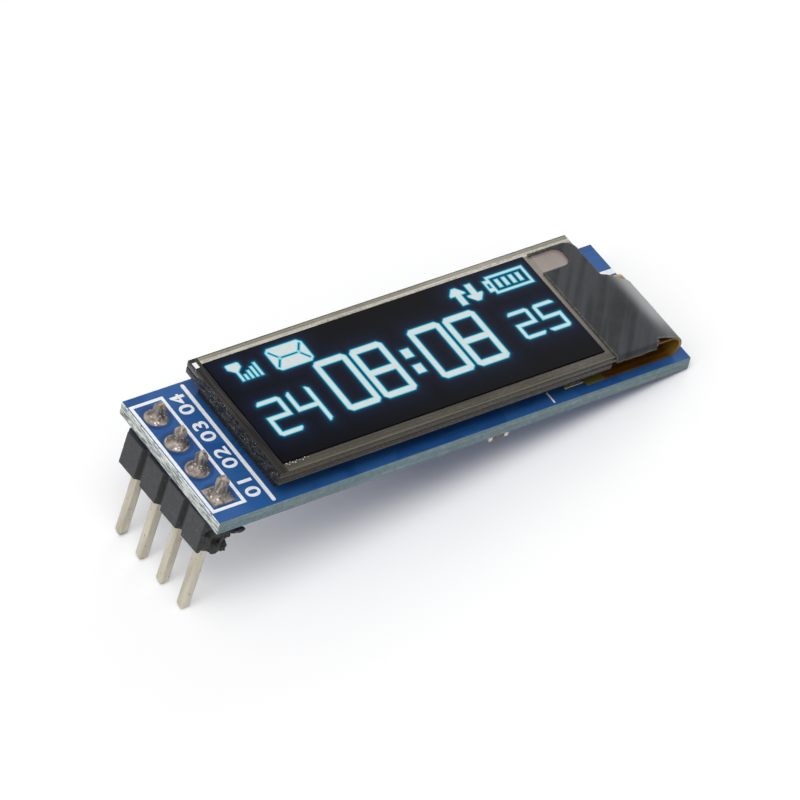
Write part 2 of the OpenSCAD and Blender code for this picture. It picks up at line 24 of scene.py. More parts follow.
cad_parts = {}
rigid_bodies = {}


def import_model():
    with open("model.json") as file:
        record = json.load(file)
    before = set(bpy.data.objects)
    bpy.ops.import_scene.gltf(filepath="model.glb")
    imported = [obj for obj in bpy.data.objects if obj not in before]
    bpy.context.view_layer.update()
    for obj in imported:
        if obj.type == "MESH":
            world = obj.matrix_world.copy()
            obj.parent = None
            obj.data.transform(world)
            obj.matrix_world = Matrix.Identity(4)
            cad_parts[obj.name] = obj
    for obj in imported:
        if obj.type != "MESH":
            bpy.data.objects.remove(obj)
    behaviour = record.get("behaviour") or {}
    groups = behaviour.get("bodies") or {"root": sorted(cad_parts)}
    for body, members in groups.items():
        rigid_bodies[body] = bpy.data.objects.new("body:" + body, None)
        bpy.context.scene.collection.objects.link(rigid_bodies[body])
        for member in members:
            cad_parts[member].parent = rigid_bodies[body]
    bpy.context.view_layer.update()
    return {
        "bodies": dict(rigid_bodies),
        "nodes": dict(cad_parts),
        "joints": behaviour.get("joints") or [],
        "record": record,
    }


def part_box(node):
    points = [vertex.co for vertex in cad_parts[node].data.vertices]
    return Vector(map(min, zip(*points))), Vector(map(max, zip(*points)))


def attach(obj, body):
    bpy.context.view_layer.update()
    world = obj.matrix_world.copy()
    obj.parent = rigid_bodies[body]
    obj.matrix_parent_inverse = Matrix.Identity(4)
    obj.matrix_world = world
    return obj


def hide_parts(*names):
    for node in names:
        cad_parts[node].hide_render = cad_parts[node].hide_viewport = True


MM = 0.001
BODY = "root"
BLACK = (0.0, 0.0, 0.0, 1.0)
WHITE = (1.0, 1.0, 1.0, 1.0)
LOG = logging.getLogger("display_module")
Triple = tuple[float, float, float]
Colour = tuple[float, float, float, float]
Socket = bpy.types.NodeSocket
Node = bpy.types.Node
Tree = bpy.types.NodeTree
Object = bpy.types.Object
Material = bpy.types.Material
Mesh = bmesh.types.BMesh
Vert = bmesh.types.BMVert
Edge = bmesh.types.BMEdge


class Axis(Enum):
    """The two axes in the plane of the board."""

    X = 0
    Y = 1


def tone(code: str) -> Colour:
    """Turns a display colour into the linear one that shaders read.

    Args:
        code: The colour as six hexadecimal digits.

    Returns:
        The linear colour with an alpha of 1.
    """
    values = [int(code[i:i + 2], 16) / 255 for i in (0, 2, 4)]
    linear = [v / 12.92 if v <= 0.04045 else ((v + 0.055) / 1.055) ** 2.4 for v in values]
    return (linear[0], linear[1], linear[2], 1.0)


def unit(value: float) -> float:
    """Keeps a value between 0 and 1."""
    return max(0.0, min(1.0, value))


# ---- Shader graphs ----


class Graph:
    """Adds nodes to one node tree and links them."""

    def __init__(self, tree: Tree, effects: Optional[Effects] = None) -> None:
        """Starts with an empty tree and the node groups that it may place."""
        self.tree = tree
        self.effects = effects
        tree.nodes.clear()

    def add(self, kind: str, **settings: object) -> Node:
        """Adds a node of a kind, with properties to set on it."""
        node = self.tree.nodes.new(kind)
        for key, value in settings.items():
            setattr(node, key, value)
        return node

    def feed(self, socket: Socket, value: object) -> None:
        """Links a socket to another, or sets its default value."""
        if isinstance(value, Socket):
            self.tree.links.new(value, socket)
        else:
            socket.default_value = value

    def math(self, operation: str, *values: object, clamp: bool = False) -> Socket:
        """Adds a Math node and returns its result."""
        node = self.add("ShaderNodeMath", operation=operation, use_clamp=clamp)
        for socket, value in zip(node.inputs, values):
            self.feed(socket, value)
        return node.outputs[0]

    def times(self, first: object, second: object) -> Socket:
        """Multiplies two values."""
        return self.math("MULTIPLY", first, second)

    def less(self, value: object, limit: object) -> Socket:
        """Gives 1 where a value is under a limit."""
        return self.math("LESS_THAN", value, limit)

    def more(self, value: object, limit: object) -> Socket:
        """Gives 1 where a value is over a limit."""
        return self.math("GREATER_THAN", value, limit)

    def away(self, value: object, middle: float) -> Socket:
        """Gives how far a value is from a middle."""
        return self.math("ABSOLUTE", self.math("SUBTRACT", value, middle))

    def comb(self, value: object, step: float) -> Socket:
        """Gives how far a value is from the middle of its step, as for evenly spaced lines."""
        return self.away(self.math("WRAP", value, step, 0.0), step / 2)

    def mix(self, factor: object, first: object, second: object) -> Socket:
        """Mixes two colours and returns the result."""
        node = self.add("ShaderNodeMix", data_type="RGBA")
        for index, value in ((0, factor), (6, first), (7, second)):
            self.feed(node.inputs[index], value)
        return node.outputs[2]

    def tones(self, factor: object, first: str, second: str) -> Socket:
        """Mixes two display colours."""
        return self.mix(factor, tone(first), tone(second))

    def over(self, colour: object, mask: object, code: str, share: float = 1.0) -> Socket:
        """Lays a display colour over another colour.

        Args:
            colour: The colour below.
            mask: Where the new colour shows, from 0 to 1.
            code: The new colour as six hexadecimal digits.
            share: How much of it shows at most.

        Returns:
            The mixed colour.
        """
        return self.mix(self.times(mask, share), colour, tone(code))

    def span(self, value: object, low: float, high: float, to_low: float = 0.0, to_high: float = 1.0,
             smooth: bool = False) -> Socket:
        """Maps a value from one range to another, clamped at both ends.

        Args:
            value: The value or socket to map.
            low: Start of the range it comes from.
            high: End of the range it comes from.
            to_low: What the start maps to.
            to_high: What the end maps to.
            smooth: Eases in and out instead of a straight ramp.

        Returns:
            The mapped value.
        """
        kind = "SMOOTHSTEP" if smooth else "LINEAR"
        node = self.add("ShaderNodeMapRange", interpolation_type=kind, clamp=True)
        for socket, item in zip(node.inputs, (value, low, high, to_low, to_high)):
            self.feed(socket, item)
        return node.outputs[0]

    def noise(self, vector: object, scale: object, detail: float = 3.0) -> Socket:
        """Adds a noise texture and returns its value."""
        node = self.add("ShaderNodeTexNoise")
        for key, value in (("Vector", vector), ("Scale", scale), ("Detail", detail)):
            self.feed(node.inputs[key], value)
        return node.outputs["Fac"]

    def place(self, stretch: Triple = (1, 1, 1), turn: float = 0.0) -> Socket:
        """Reads Object coordinates, turned and then stretched.

        Args:
            stretch: Factor on each axis; a high one makes a pattern finer along it.
            turn: Turn about the Z axis in degrees.

        Returns:
            The vector for a texture.
        """
        turned = self.add("ShaderNodeMapping")
        self.feed(turned.inputs["Vector"], self.add("ShaderNodeTexCoord").outputs["Object"])
        turned.inputs["Rotation"].default_value = (0.0, 0.0, math.radians(turn))
        mapping = self.add("ShaderNodeMapping")
        self.feed(mapping.inputs["Vector"], turned.outputs["Vector"])
        mapping.inputs["Scale"].default_value = stretch
        return mapping.outputs["Vector"]

    def parts(self, vector: str) -> Sequence[Socket]:
        """Reads the three parts of a coordinate output, such as Object or Normal."""
        split = self.add("ShaderNodeSeparateXYZ")
        self.feed(split.inputs[0], self.add("ShaderNodeTexCoord").outputs[vector])
        return split.outputs

    def attribute(self, name: str) -> Socket:
        """Reads a piece's own attribute as one value."""
        return self.add("ShaderNodeAttribute", attribute_name=name).outputs["Fac"]

    def bump(self, height: object, depth: float) -> Socket:
        """Turns a height from 0 to 1 into a normal, for a relief of a depth in metres."""
        node = self.add("ShaderNodeBump")
        for key, value in (("Strength", 1.0), ("Distance", depth), ("Height", height)):
            self.feed(node.inputs[key], value)
        return node.outputs["Normal"]

    def group(self, tree: Tree, **values: object) -> Node:
        """Places a node group with its own values."""
        node = self.add("ShaderNodeGroup", node_tree=tree)
        for name, value in values.items():
            self.feed(node.inputs[name], value)
        return node

    def flecks(self, scale: float, cover: float) -> Socket:
        """Scatters specks that cover a share of the surface."""
        return self.group(self.effects.flecks, Vector=self.place(), Scale=scale, Cover=cover).outputs["Mask"]

    def glow(self, shader: Node, light: Socket) -> None:
        """Gives a shader light of its own."""
        self.feed(shader.inputs["Emission Color"], light)
        shader.inputs["Emission Strength"].default_value = 1.0

    def seen(self) -> Socket:
        """Gives 1 to rays of the camera, of reflections and of clear matter."""
        path = self.add("ShaderNodeLightPath").outputs
        direct = self.math("MAXIMUM", path["Is Camera Ray"], path["Is Glossy Ray"])
        return self.math("MAXIMUM", direct, path["Is Transmission Ray"])

    def output(self, shader: Node, kind: str = "ShaderNodeOutputMaterial") -> None:
        """Links a shader to the tree's output."""
        self.feed(self.add(kind).inputs["Surface"], shader.outputs[0])


class Effects:
    """Node groups that several finishes share, each built once."""

    def __init__(self) -> None:
        """Builds every group."""
        self.grain = self._grain()
        self.flecks = self._flecks()
        self.worn = self._worn()

    @staticmethod
    def _start(name: str, inputs: dict[str, float], outputs: Iterable[str]) -> tuple:
        """Starts a group with a Vector input and named values.

        Args:
            name: The group's name.
            inputs: Each value input with its default.
            outputs: The value outputs.

        Returns:
            The group's graph, what comes into it and what it gives.
        """
        tree = bpy.data.node_groups.new(name, "ShaderNodeTree")
        tree.interface.new_socket(name="Vector", in_out="INPUT", socket_type="NodeSocketVector")
        for key, default in inputs.items():
            made = tree.interface.new_socket(name=key, in_out="INPUT", socket_type="NodeSocketFloat")
            made.default_value = default
        for key in outputs:
            tree.interface.new_socket(name=key, in_out="OUTPUT", socket_type="NodeSocketFloat")
        graph = Graph(tree)
        return graph, graph.add("NodeGroupInput").outputs, graph.add("NodeGroupOutput").inputs

    def _grain(self) -> Tree:
        """Coarse patches with fine grain in them."""
        graph, given, result = self._start("surface_grain", {"Scale": 2000.0}, ("Patches", "Fine"))
        coarse = graph.noise(given["Vector"], given["Scale"], 4.0)
        fine = graph.noise(given["Vector"], graph.times(given["Scale"], 9.0), 2.0)
        graph.feed(result["Patches"], graph.span(coarse, 0.33, 0.67))
        graph.feed(result["Fine"], fine)
        return graph.tree

    def _flecks(self) -> Tree:
        """Sparse specks, such as dust or glints."""
        graph, given, result = self._start("flecks", {"Scale": 6000.0, "Cover": 0.2}, ("Mask",))
        cells = graph.add("ShaderNodeTexVoronoi", feature="F1")
        graph.feed(cells.inputs["Vector"], given["Vector"])
        graph.feed(cells.inputs["Scale"], given["Scale"])
        split = graph.add("ShaderNodeSeparateColor")
        graph.feed(split.inputs[0], cells.outputs["Color"])
        chosen = graph.less(split.outputs[0], given["Cover"])
        graph.feed(result["Mask"], graph.times(graph.less(cells.outputs["Distance"], 0.34), chosen))
        return graph.tree

    def _worn(self) -> Tree:
        """Rubbed patches where a piece's edge attribute is high."""
        graph, given, result = self._start(
            "worn_edges", {"Edge": 0.0, "Scale": 5000.0, "Amount": 0.5}, ("Mask",))
        rub = graph.noise(given["Vector"], given["Scale"], 4.0)
        reach = graph.times(given["Edge"], graph.span(rub, 0.3, 0.7))
        graph.feed(result["Mask"], graph.math("MULTIPLY", reach, given["Amount"], clamp=True))
        return graph.tree


# ---- Finishes ----


@dataclass(frozen=True)
class Finish:
    """A surface with patches, fine grain, specks and worn edges; on some finishes the specks are painted
    glints.

    Colours are display colours. Scales are counts per metre and depths are metres.
    """

    name: str
    base: str
    patch: str
    # Specks: plain marks on some finishes, painted glints on others.
    speck_and_glint: str = "ffffff"
    scale: float = 1500.0
    stretch: Triple = (1.0, 1.0, 1.0)
    rough: tuple[float, float] = (0.4, 0.6)
    metal: float = 0.0
    coat: float = 0.0
    specular: float = 0.5
    depth: float = 3e-6
    cover: float = 0.0
    speck_scale: float = 9000.0
    edge: str = "ffffff"
    wear: float = 0.0

    def colour(self, graph: Graph, plain: Socket, patches: Socket) -> Socket:
        """Gives the surface's colour before specks and wear.

        Args:
            graph: The material's graph.
            plain: The base colour with its patches.
            patches: The patches alone, from 0 to 1.

        Returns:
            The colour.
        """
        return plain

    def height(self, graph: Graph, grain: Node) -> Socket:
        """Gives the relief from 0 to 1."""
        coarse = graph.times(grain.outputs["Patches"], 0.4)
        return graph.math("ADD", coarse, graph.times(grain.outputs["Fine"], 0.6))

    def adjust(self, graph: Graph, shader: Node) -> None:
        """Makes the last changes to the shader, such as light of its own; most finishes need none."""

    def build(self, effects: Effects) -> Material:
        """Makes the material from its own values and the shared node groups."""
        material = bpy.data.materials.new(self.name)
        material.use_nodes = True
        graph = Graph(material.node_tree, effects)
        vector = graph.place(self.stretch)
        grain = graph.group(effects.grain, Vector=vector, Scale=self.scale)
        patches = grain.outputs["Patches"]
        colour = self.colour(graph, graph.tones(patches, self.base, self.patch), patches)
        if self.cover:
            colour = graph.over(colour, graph.flecks(self.speck_scale, self.cover), self.speck_and_glint)
        if self.wear:
            worn = graph.group(effects.worn, Vector=vector, Edge=graph.attribute("edge"), Amount=self.wear)
            colour = graph.over(colour, worn.outputs["Mask"], self.edge)
        shader = graph.add("ShaderNodeBsdfPrincipled")
        for key, value in (
                ("Base Color", colour),
                ("Roughness", graph.span(grain.outputs["Fine"], 0.3, 0.7, *self.rough)),
                ("Metallic", self.metal), ("Coat Weight", self.coat), ("Coat Roughness", 0.12),
                ("Specular IOR Level", self.specular),
                ("Normal", graph.bump(self.height(graph, grain), self.depth))):
            graph.feed(shader.inputs[key], value)
        self.adjust(graph, shader)
        graph.output(shader)
        return material


@dataclass(frozen=True)
class Lacquer(Finish):
    """Solder mask: copper shows lighter through it, and the clearings round the pads darker."""

    copper: str = "2c5d97"
    clearing: str = "1a3c70"
    pitch: float = 2.54 * MM
    pad_reach: float = 1.12 * MM
    track_step: float = 0.62 * MM
    track_half: float = 0.08 * MM
    pour_turn: float = 38.0

    def colour(self, graph: Graph, plain: Socket, patches: Socket) -> Socket:
        """Mixes lacquer over board, copper and clearings."""
        x, y, _ = graph.parts("Object")
        row = graph.comb(y, self.pitch)
        reach = graph.math("SQRT", graph.math("ADD", graph.times(row, row), graph.times(x, x)))
        ring = graph.span(reach, self.pad_reach * 0.95, self.pad_reach * 1.05, 1.0, 0.0)
        ring = graph.times(ring, graph.less(graph.math("ABSOLUTE", y), 2 * self.pitch))
        pour = graph.span(graph.noise(graph.place(turn=self.pour_turn), 260.0, 1.0), 0.49, 0.51)
        tracks = graph.times(graph.less(graph.comb(y, self.track_step), self.track_half),
                             graph.span(graph.noise(graph.place((1, 3, 1)), 300.0, 0.0), 0.53, 0.55))
        colour = graph.over(plain, pour, self.copper, 0.55)
        colour = graph.over(colour, tracks, self.copper, 0.5)
        return graph.over(colour, ring, self.clearing, 0.75)


@dataclass(frozen=True)
class Laminate(Finish):
    """Sawn glass-fibre board: thin layers that show on the cut edges."""

    fibre: str = "d6dbd7"
    split: str = "6f7876"
    stain: str = "58695f"
    frayed: str = "f2f4f2"
    brow_z: float = 0.98 * MM
    layers: float = 9500.0
    end_x: float = -1.25 * MM

    def colour(self, graph: Graph, plain: Socket, patches: Socket) -> Socket:
        """Streaks the layers, paler on the header end than along the sides."""
        x, _, z = graph.parts("Object")
        layers = graph.noise(graph.place((0.03, 0.03, 1.0)), self.layers * 0.5)
        side = graph.tones(graph.span(layers, 0.35, 0.65), self.base, self.patch)
        side = graph.over(side, patches, self.stain, 0.5)
        strands = graph.noise(graph.place((0.2, 0.16, 1.0)), self.layers, 4.0)
        pale = graph.tones(graph.span(strands, 0.4, 0.56), self.split, self.fibre)
        brow = graph.span(z, self.brow_z, self.brow_z + 0.06 * MM)
        pale = graph.over(pale, graph.times(brow, graph.span(patches, 0.1, 0.5)), self.frayed)
        return graph.mix(graph.less(x, self.end_x), side, pale)

    def height(self, graph: Graph, grain: Node) -> Socket:
        """Ridges along the layers."""
        return graph.noise(graph.place((0.02, 0.02, 1.0)), self.layers * 1.3)


@dataclass(frozen=True)
class Moulding(Finish):
    """Moulded plastic with painted shade on its side flanks."""

    # Painted shade on the flanks.
    flank_shade: str = "0c0c0d"

    def colour(self, graph: Graph, plain: Socket, patches: Socket) -> Socket:
        """Paints shade on the faces that look across the row."""
        across = graph.math("ABSOLUTE", graph.parts("Normal")[1])
        return graph.over(plain, graph.span(across, 0.3, 0.5), self.flank_shade, 0.8)


@dataclass(frozen=True)
class PinMetal(Finish):
    """Plated pin metal, dulled by solder above the board and cut bare at the tips."""

    stub: str = "9d9289"
    stub_dark: str = "453d38"
    stub_z: float = 1.15 * MM
    stub_metal: float = 0.3
    tip: str = "5f5742"
    tip_z: float = -8.65 * MM

    def colour(self, graph: Graph, plain: Socket, patches: Socket) -> Socket:
        """Dulls the stub and darkens the tip."""
        z = graph.parts("Object")[2]
        streaks = graph.noise(graph.place((1.0, 1.0, 0.3)), 4200.0, 4.0)
        dull = graph.tones(graph.span(streaks, 0.44, 0.58), self.stub_dark, self.stub)
        tips = graph.span(z, self.tip_z, self.tip_z + 0.3 * MM, 1.0, 0.0)
        return graph.mix(graph.more(z, self.stub_z), graph.over(plain, tips, self.tip, 0.8), dull)

    def adjust(self, graph: Graph, shader: Node) -> None:
        """Lets the stub shine less."""
        above = graph.more(graph.parts("Object")[2], self.stub_z)
        graph.feed(shader.inputs["Metallic"], graph.span(above, 0.0, 1.0, self.metal, self.stub_metal))


@dataclass(frozen=True)
class PlateGlass(Finish):
    """Coated plate glass: its margins differ in tone from side to side, painted reflections of the studio."""

    # Painted reflections: the far margin in bright bands, the near margin darker.
    far: str = "8f8a79"
    far_edge_reflection: str = "3d3a33"
    far_bright_reflection: str = "c9c4b8"
    middle: str = "7f796c"
    near: str = "45423b"
    # Painted highlight along the near edge, also the tone of pale grit on the sides.
    edge_highlight_and_grit: str = "655f53"
    # The header-end margin, painted dark with reflected lines.
    header_end: str = "131313"
    header_streak_reflection: str = "35322d"
    edge_side: str = "2a2722"
    # Fine painted reflection lines along the margins.
    reflection_line: str = "625d53"
    # The bare glass of the ledge, painted in a reflected tone.
    ledge: str = "8d7f79"
    ledge_x: float = 30.2 * MM
    # A pale patch in one corner.
    clear: str = "eceae6"
    pale_patch_share: float = 0.0
    # Dark grain on the side that faces the header, with painted glints.
    grain_and_glints: tuple[str, str, str] = ("161617", "3d3d3c", "a3a39f")
    low: Triple = (0.0, 0.0, 0.0)
    high: Triple = (0.0, 0.0, 0.0)

    def colour(self, graph: Graph, plain: Socket, patches: Socket) -> Socket:
        """Tones the face and the sides apart."""
        nx, _, nz = graph.parts("Normal")
        grit = graph.noise(graph.place(), 7500.0, 2.0)
        side = graph.mix(graph.less(nx, -0.6), self._side(graph, grit), self._header_side(graph))
        return graph.mix(graph.more(graph.math("ABSOLUTE", nz), 0.8), side, self._face(graph, patches, grit))

    def _face(self, graph: Graph, patches: Socket, grit: Socket) -> Socket:
        """Paints reflections on each margin, toned apart from side to side, with fine reflected lines along
        the edges, a painted highlight along the near edge and a pale patch in one corner.
        """
        x, y, _ = graph.parts("Object")
        to_end = graph.math("SUBTRACT", x, self.low[0])
        to_near = graph.math("SUBTRACT", y, self.low[1])
        to_far = graph.math("SUBTRACT", self.high[1], y)
        across = graph.span(y, self.low[1] + 0.8 * MM, self.high[1] - 1.2 * MM)
        # Painted reflection: darker on the near side, lighter towards the far side.
        colour = graph.tones(across, self.near, self.middle)
        # Painted reflection in bands along the far margin.
        for width, shade in ((0.72, self.far_bright_reflection), (0.38, self.far), (0.1, self.far_edge_reflection)):
            colour = graph.over(colour, graph.less(to_far, width * MM), shade)
        # Fine painted reflection lines.
        threads = graph.noise(graph.place((0.03, 1.0, 1.0)), 9000.0, 2.0)
        lines = graph.times(graph.span(threads, 0.42, 0.6), graph.span(grit, 0.35, 0.6))
        colour = graph.over(colour, lines, self.reflection_line, 0.6)
        # The ledge's bare glass painted in a reflected tone.
        shown = graph.times(graph.more(x, self.ledge_x), graph.more(to_far, 0.7 * MM))
        colour = graph.over(colour, shown, self.ledge)
        # Painted highlight along the near edge.
        colour = graph.over(colour, graph.less(to_near, 0.12 * MM), self.edge_highlight_and_grit)
        colour = graph.over(colour, patches, self.patch, 0.2)
        # The header-end margin painted dark with reflected lines.
        ends = graph.noise(graph.place((1.0, 0.03, 1.0)), 7000.0, 2.0)
        margin = graph.tones(graph.span(ends, 0.45, 0.62), self.header_end, self.header_streak_reflection)
        colour = graph.mix(graph.less(to_end, 0.68 * MM), colour, margin)
        clear = graph.times(graph.less(graph.away(to_end, 0.24 * MM), 0.16 * MM),
                            graph.less(graph.away(to_far, 0.62 * MM), 0.26 * MM))
        return graph.over(colour, clear, self.clear, self.pale_patch_share)

    def _side(self, graph: Graph, grit: Socket) -> Socket:
        """Bands the cut sides along their length, with pale grit in the tone of the painted edge highlight.
        """
        bands = graph.noise(graph.place((0.02, 0.02, 1.0)), 5200.0, 2.0)
        side = graph.tones(graph.span(bands, 0.38, 0.62), self.edge_side, self.patch)
        return graph.over(side, graph.span(grit, 0.5, 0.7), self.edge_highlight_and_grit, 0.35)

    def _header_side(self, graph: Graph) -> Socket:
        """Paints the side that looks at the header dark and grainy, with painted glints."""
        grain = graph.span(graph.noise(graph.place((1.0, 0.5, 1.0)), 6000.0), 0.4, 0.6)
        dark, light, glint = self.grain_and_glints
        return graph.over(graph.tones(grain, dark, light), graph.flecks(9000.0, 0.14), glint)


@dataclass(frozen=True)
class PolariserFilm(Finish):
    """Dark film that the picture's light spreads into."""

    halo: str = "086082"
    wash: str = "0c162c"

    def adjust(self, graph: Graph, shader: Node) -> None:
        """Spreads the picture's light over the film."""
        wide = graph.mix(graph.attribute("wash"), BLACK, tone(self.wash))
        graph.glow(shader, graph.mix(graph.attribute("halo"), wide, tone(self.halo)))


@dataclass(frozen=True)
class LitDots(Finish):
    """The lit picture: a pale core in a cyan rim."""

    rim: str = "45c6dd"
    core: str = "d3dede"

    def adjust(self, graph: Graph, shader: Node) -> None:
        """Lights the core and the rim."""
        dots = graph.span(graph.noise(graph.place(), 2600.0, 1.0), 0.3, 0.7, 0.94, 1.0)
        light = graph.tones(graph.span(graph.attribute("core"), 0.6, 1.0), self.rim, self.core)
        graph.glow(shader, graph.mix(dots, BLACK, light))


@dataclass(frozen=True)
class TapeFilm(Finish):
    """Dark film tape with soft diagonal streaks and a painted highlight on its crest."""

    streak: str = "36383b"
    slant: float = -48.0
    # Painted highlight on the crest.
    crest_highlight: str = "bcbdc0"
    crest_x: tuple[float, float] = (33.9 * MM, 35.5 * MM)
    crest_y: tuple[float, float] = (-5.2 * MM, -2.6 * MM)

    def colour(self, graph: Graph, plain: Socket, patches: Socket) -> Socket:
        """Draws the streaks at a slant across the tape and paints a highlight along the crest."""
        x, y, _ = graph.parts("Object")
        wide = graph.noise(graph.place((0.07, 1.0, 0.07), self.slant), 1500.0, 1.0)
        colour = graph.tones(graph.span(wide, 0.4, 0.6), self.base, self.patch)
        colour = graph.over(colour, patches, self.streak, 0.25)
        # Painted highlight along the fold's crest, strongest towards the far side.
        crest = graph.times(graph.span(x, *self.crest_x, smooth=True),
                            graph.span(y, *self.crest_y, 0.3, 1.0, smooth=True))
        return graph.over(colour, crest, self.crest_highlight, 0.62)


@dataclass(frozen=True)
class FlexFilm(Finish):
    """Amber film with fine tracks along it and a greenish bare tail."""

    track: str = "452c0c"
    step: float = 0.45 * MM
    track_half: float = 0.11 * MM
    gold: str = "a08234"
    fold_x: tuple[float, float] = (35.2 * MM, 36.0 * MM)
    pale: str = "bba873"
    far_y: tuple[float, float] = (0.9 * MM, 1.3 * MM)
    tail: str = "6f6c35"
    tail_x: float = 29.9 * MM
    tail_z: float = 1.6 * MM

    def colour(self, graph: Graph, plain: Socket, patches: Socket) -> Socket:
        """Draws the tracks, the gold of the fold, the pale far edge and the bare tail."""
        x, y, z = graph.parts("Object")
        colour = graph.over(plain, graph.less(graph.comb(y, self.step), self.track_half), self.track, 0.6)
        colour = graph.over(colour, graph.span(x, *self.fold_x), self.gold, 0.8)
        colour = graph.over(colour, graph.span(y, *self.far_y), self.pale, 0.9)
        bare = graph.times(graph.less(x, self.tail_x), graph.less(z, self.tail_z))
        return graph.over(colour, bare, self.tail, 0.8)


@dataclass(frozen=True)
class Resistor(Finish):
    """White ceramic under a black glaze on the outer face."""

    glaze: str = "141416"

    def colour(self, graph: Graph, plain: Socket, patches: Socket) -> Socket:
        """Glazes the face that looks down."""
        return graph.over(plain, graph.less(graph.parts("Normal")[2], -0.7), self.glaze)


# ---- Mesh tools ----


def link(bm: Mesh, name: str) -> Object:
    """Puts a mesh in the scene as an object, and frees it."""
    mesh = bpy.data.meshes.new(name)
    bm.normal_update()
    bm.to_mesh(mesh)
    bm.free()
    obj = bpy.data.objects.new(name, mesh)
    bpy.context.scene.collection.objects.link(obj)
    return obj


def sheet(low: Sequence[float], high: Sequence[float], z: float, columns: int, rows: int) -> Mesh:
    """Makes a flat grid between two corners at a height."""
    bm = bmesh.new()
    middle = Matrix.Translation(((low[0] + high[0]) / 2, (low[1] + high[1]) / 2, z))
    bmesh.ops.create_grid(bm, x_segments=columns, y_segments=rows, size=0.5,
                          matrix=middle @ Matrix.Diagonal((high[0] - low[0], high[1] - low[1], 1, 1)))
    return bm


def new_verts(result: dict) -> list[Vert]:
    """Picks the vertices out of what an extrusion made."""
    return [item for item in result["geom"] if isinstance(item, Vert)]


def skirt(bm: Mesh) -> list[Vert]:
    """Extrudes a mesh's open rim and returns the new vertices."""
    return new_verts(bmesh.ops.extrude_edge_only(bm, edges=[e for e in bm.edges if e.is_boundary]))


def close(bm: Mesh) -> None:
    """Fills a mesh's open rims and turns its faces outwards."""
    bmesh.ops.holes_fill(bm, edges=[e for e in bm.edges if e.is_boundary], sides=0)
    bmesh.ops.recalc_face_normals(bm, faces=bm.faces)


def cut(bm: Mesh, place: Vector, normal: Vector, faces: Optional[list] = None) -> None:
    """Cuts faces along a plane; all of them when none are given."""
    chosen = list(bm.faces) if faces is None else faces
    edges = list({e for f in chosen for e in f.edges})
    verts = list({v for f in chosen for v in f.verts})
    bmesh.ops.bisect_plane(bm, geom=verts + edges + chosen, dist=1e-8, plane_co=place, plane_no=normal)


def soften(bm: Mesh, width: float, least: float = 30.0,
           keep: Optional[Callable[[Edge], bool]] = None) -> None:
    """Bevels the sharp edges.

    Args:
        bm: The mesh.
        width: Width of the bevel.
        least: Least angle of an edge to bevel, in degrees.
        keep: Says which of the sharp edges to bevel; all when left out.
    """
    edges = [e for e in bm.edges if e.is_manifold and e.calc_face_angle(0.0) > math.radians(least)
             and (keep is None or keep(e))]
    bmesh.ops.bevel(bm, geom=edges, offset=width, offset_type="OFFSET", segments=2, profile=0.5,
                    affect="EDGES", material=-1, clamp_overlap=True)


def noise_at(point: Vector, scale: float, seed: float = 0.0) -> float:
    """Smooth noise from -1 to 1 at a place, with the scale in counts per metre."""
    return noise.noise(point * scale + Vector((seed, seed * 1.7, -seed)))


def crumple(bm: Mesh, depth: float, scale: float, seed: float,
            weight: Callable[[Vector], float] = lambda place: 1.0) -> None:
    """Moves vertices along their normals by noise.

    Args:
        bm: The mesh.
        depth: Largest move.
        scale: Noise counts per metre.
        seed: Shifts the noise.
        weight: Share of the move at a place.
    """
    bm.normal_update()
    moves = [(v, v.normal * depth * noise_at(v.co, scale, seed) * weight(v.co)) for v in bm.verts]
    for vertex, move in moves:
        vertex.co += move


def mark_edges(bm: Mesh, least: float) -> None:
    """Sets the edge attribute to 1 along edges over an angle in degrees, where the finish is worn."""
    layer = bm.verts.layers.float.new("edge")
    for edge in bm.edges:
        if edge.is_manifold and edge.calc_face_angle(0.0) > math.radians(least):
            for vertex in edge.verts:
                vertex[layer] = 1.0


